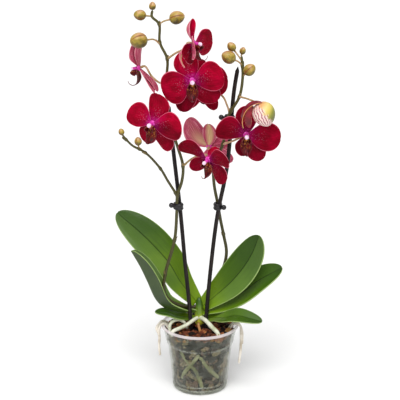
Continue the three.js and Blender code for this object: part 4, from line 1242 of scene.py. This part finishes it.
spikeLook = {
    "low": "#38340F", "mid": "#46430F", "high": "#504E1A", "specks": "#2E1C12",
    "stalk": [(0.3, "#8E7A44"), (0.5, "#B99A6E"), (0.72, "#CFAE98")],
    "bract": [(0.3, "#5E5226"), (0.7, "#8A7448")],
}
bractForm = {"size": 0.95, "half": 2.375, "narrowing": 0.75, "below": 2.2, "height": 8.2,
             "stand": 2.55, "lean": 1.3, "curl": 2.4}


def spikeMaterials(look):
    mat, shader = newMaterial("stemSkin", 0.48)
    mottle = noiseFac(objectPlace(mat, (1, 1, 0.35)), 160, 4, 0.3)
    level = maths("ADD", between(axes(objectPlace(mat))["Z"], 0.13, 0.6),
                  between(mottle, 0.3, 0.7, -0.14, 0.14), True)
    body = ramp(level, [(0.0, look["low"]), (0.45, look["mid"]), (1.0, look["high"])])
    speck = noiseFac(objectPlace(mat, (1, 1, 0.5)), 700, 3)
    setColor(shader, tint(body, look["specks"], speck, 0.5, 0.68, 0.0, 0.55))
    addBump(shader, mottle, 0.3, 0.0006)
    return [mat, mottled("stalkSkin", 0.5, 90, look["stalk"]),
            mottled("bractSkin", 0.6, 240, look["bract"])]


# the dry scale that clasps a joint of the stem
def addBract(bm, place, up, out):
    form, side = bractForm, up.cross(out).normalized()

    def placeOf(u, v):
        turn = form["half"] * (1 - form["narrowing"] * u ** 1.5) * v / form["curl"]
        around = out * math.cos(turn) + side * math.sin(turn)
        stand = form["stand"] + form["lean"] * u * u
        rise = form["height"] * u - form["below"]
        return place + (up * rise + around * stand) * mm * form["size"]

    sheet = bmesh.new()
    addBlade(sheet, 10, 8, placeOf)
    joinMesh(bm, takeMesh(objectFrom(thicken(sheet, 0.5, 0, 0), "bract")), 2)


# a stalk is thicker where it leaves its stem and where it ends
def addStalk(bm, points, form):
    count, tipFrom = form["count"], form["tipFrom"]
    radii = [form["radius"] + form["foot"] * smoothstep(1 - i / form["footRun"])
             + form["tip"] * smoothstep((i - tipFrom) / (count - 1 - tipFrom))
             for i in range(count)]
    addTube(bm, smoothLine(points, count), radii, 10, 1)


def makeSpike(name, spike, mats):
    bm = bmesh.new()
    joints = [Vector(p) * mm for p in spike["joints"]]
    for points, thick, thin in spike["stems"]:
        line = smoothLine(points, 40 * (len(points) - 1) // 2)
        radii = roundRadii(line, thick, start=False, taper=1 - thin / thick, lumps=0.03)
        for joint in joints:
            for i, place in enumerate(line):
                radii[i] += 0.75 * math.exp(-((place - joint).length / (2.4 * mm)) ** 2)
        addTube(bm, line, radii, 14)
        for number, joint in enumerate(joints):
            i = min(range(len(line)), key=lambda i: (line[i] - joint).length_squared)
            if (line[i] - joint).length < 2.5 * mm and 0 < i < len(line) - 1:
                up = (line[i + 1] - line[i - 1]).normalized()
                angle = 2.4 * number + 3.9  # each joint's bract faces another way
                out = Vector((math.cos(angle), math.sin(angle), 0))
                addBract(bm, line[i], up, (out - up * out.dot(up)).normalized())
    for bloom in blooms.values():
        if bloom["spike"] == name:
            ends = [bloomMatrix(bloom) @ Vector((0, 0, -far * mm)) / mm for far in (10, 2.7)]
            addStalk(bm, bloom["stalk"] + ends, stalkForms["bloom"])
    for bud in buds.values():
        if bud["spike"] == name:
            sink = budLook["stretch"] * bud["radius"] * 0.97
            end = Vector(bud["at"]) - budDirection(bud) * sink
            if (end - Vector(bud["stalk"][0])).length > 0.6:  # a tip bud sits on its stem
                addStalk(bm, bud["stalk"] + [end], stalkForms["bud"])
    if name == "spike_right":
        addStalk(bm, openingBud["stalk"], stalkForms["opening"])
    finishPiece(bm, camel(name), name, mats)


print("spikes")
spikeMats = spikeMaterials(spikeLook)
for name, spike in spikes.items():
    makeSpike(name, spike, spikeMats)

print("size")
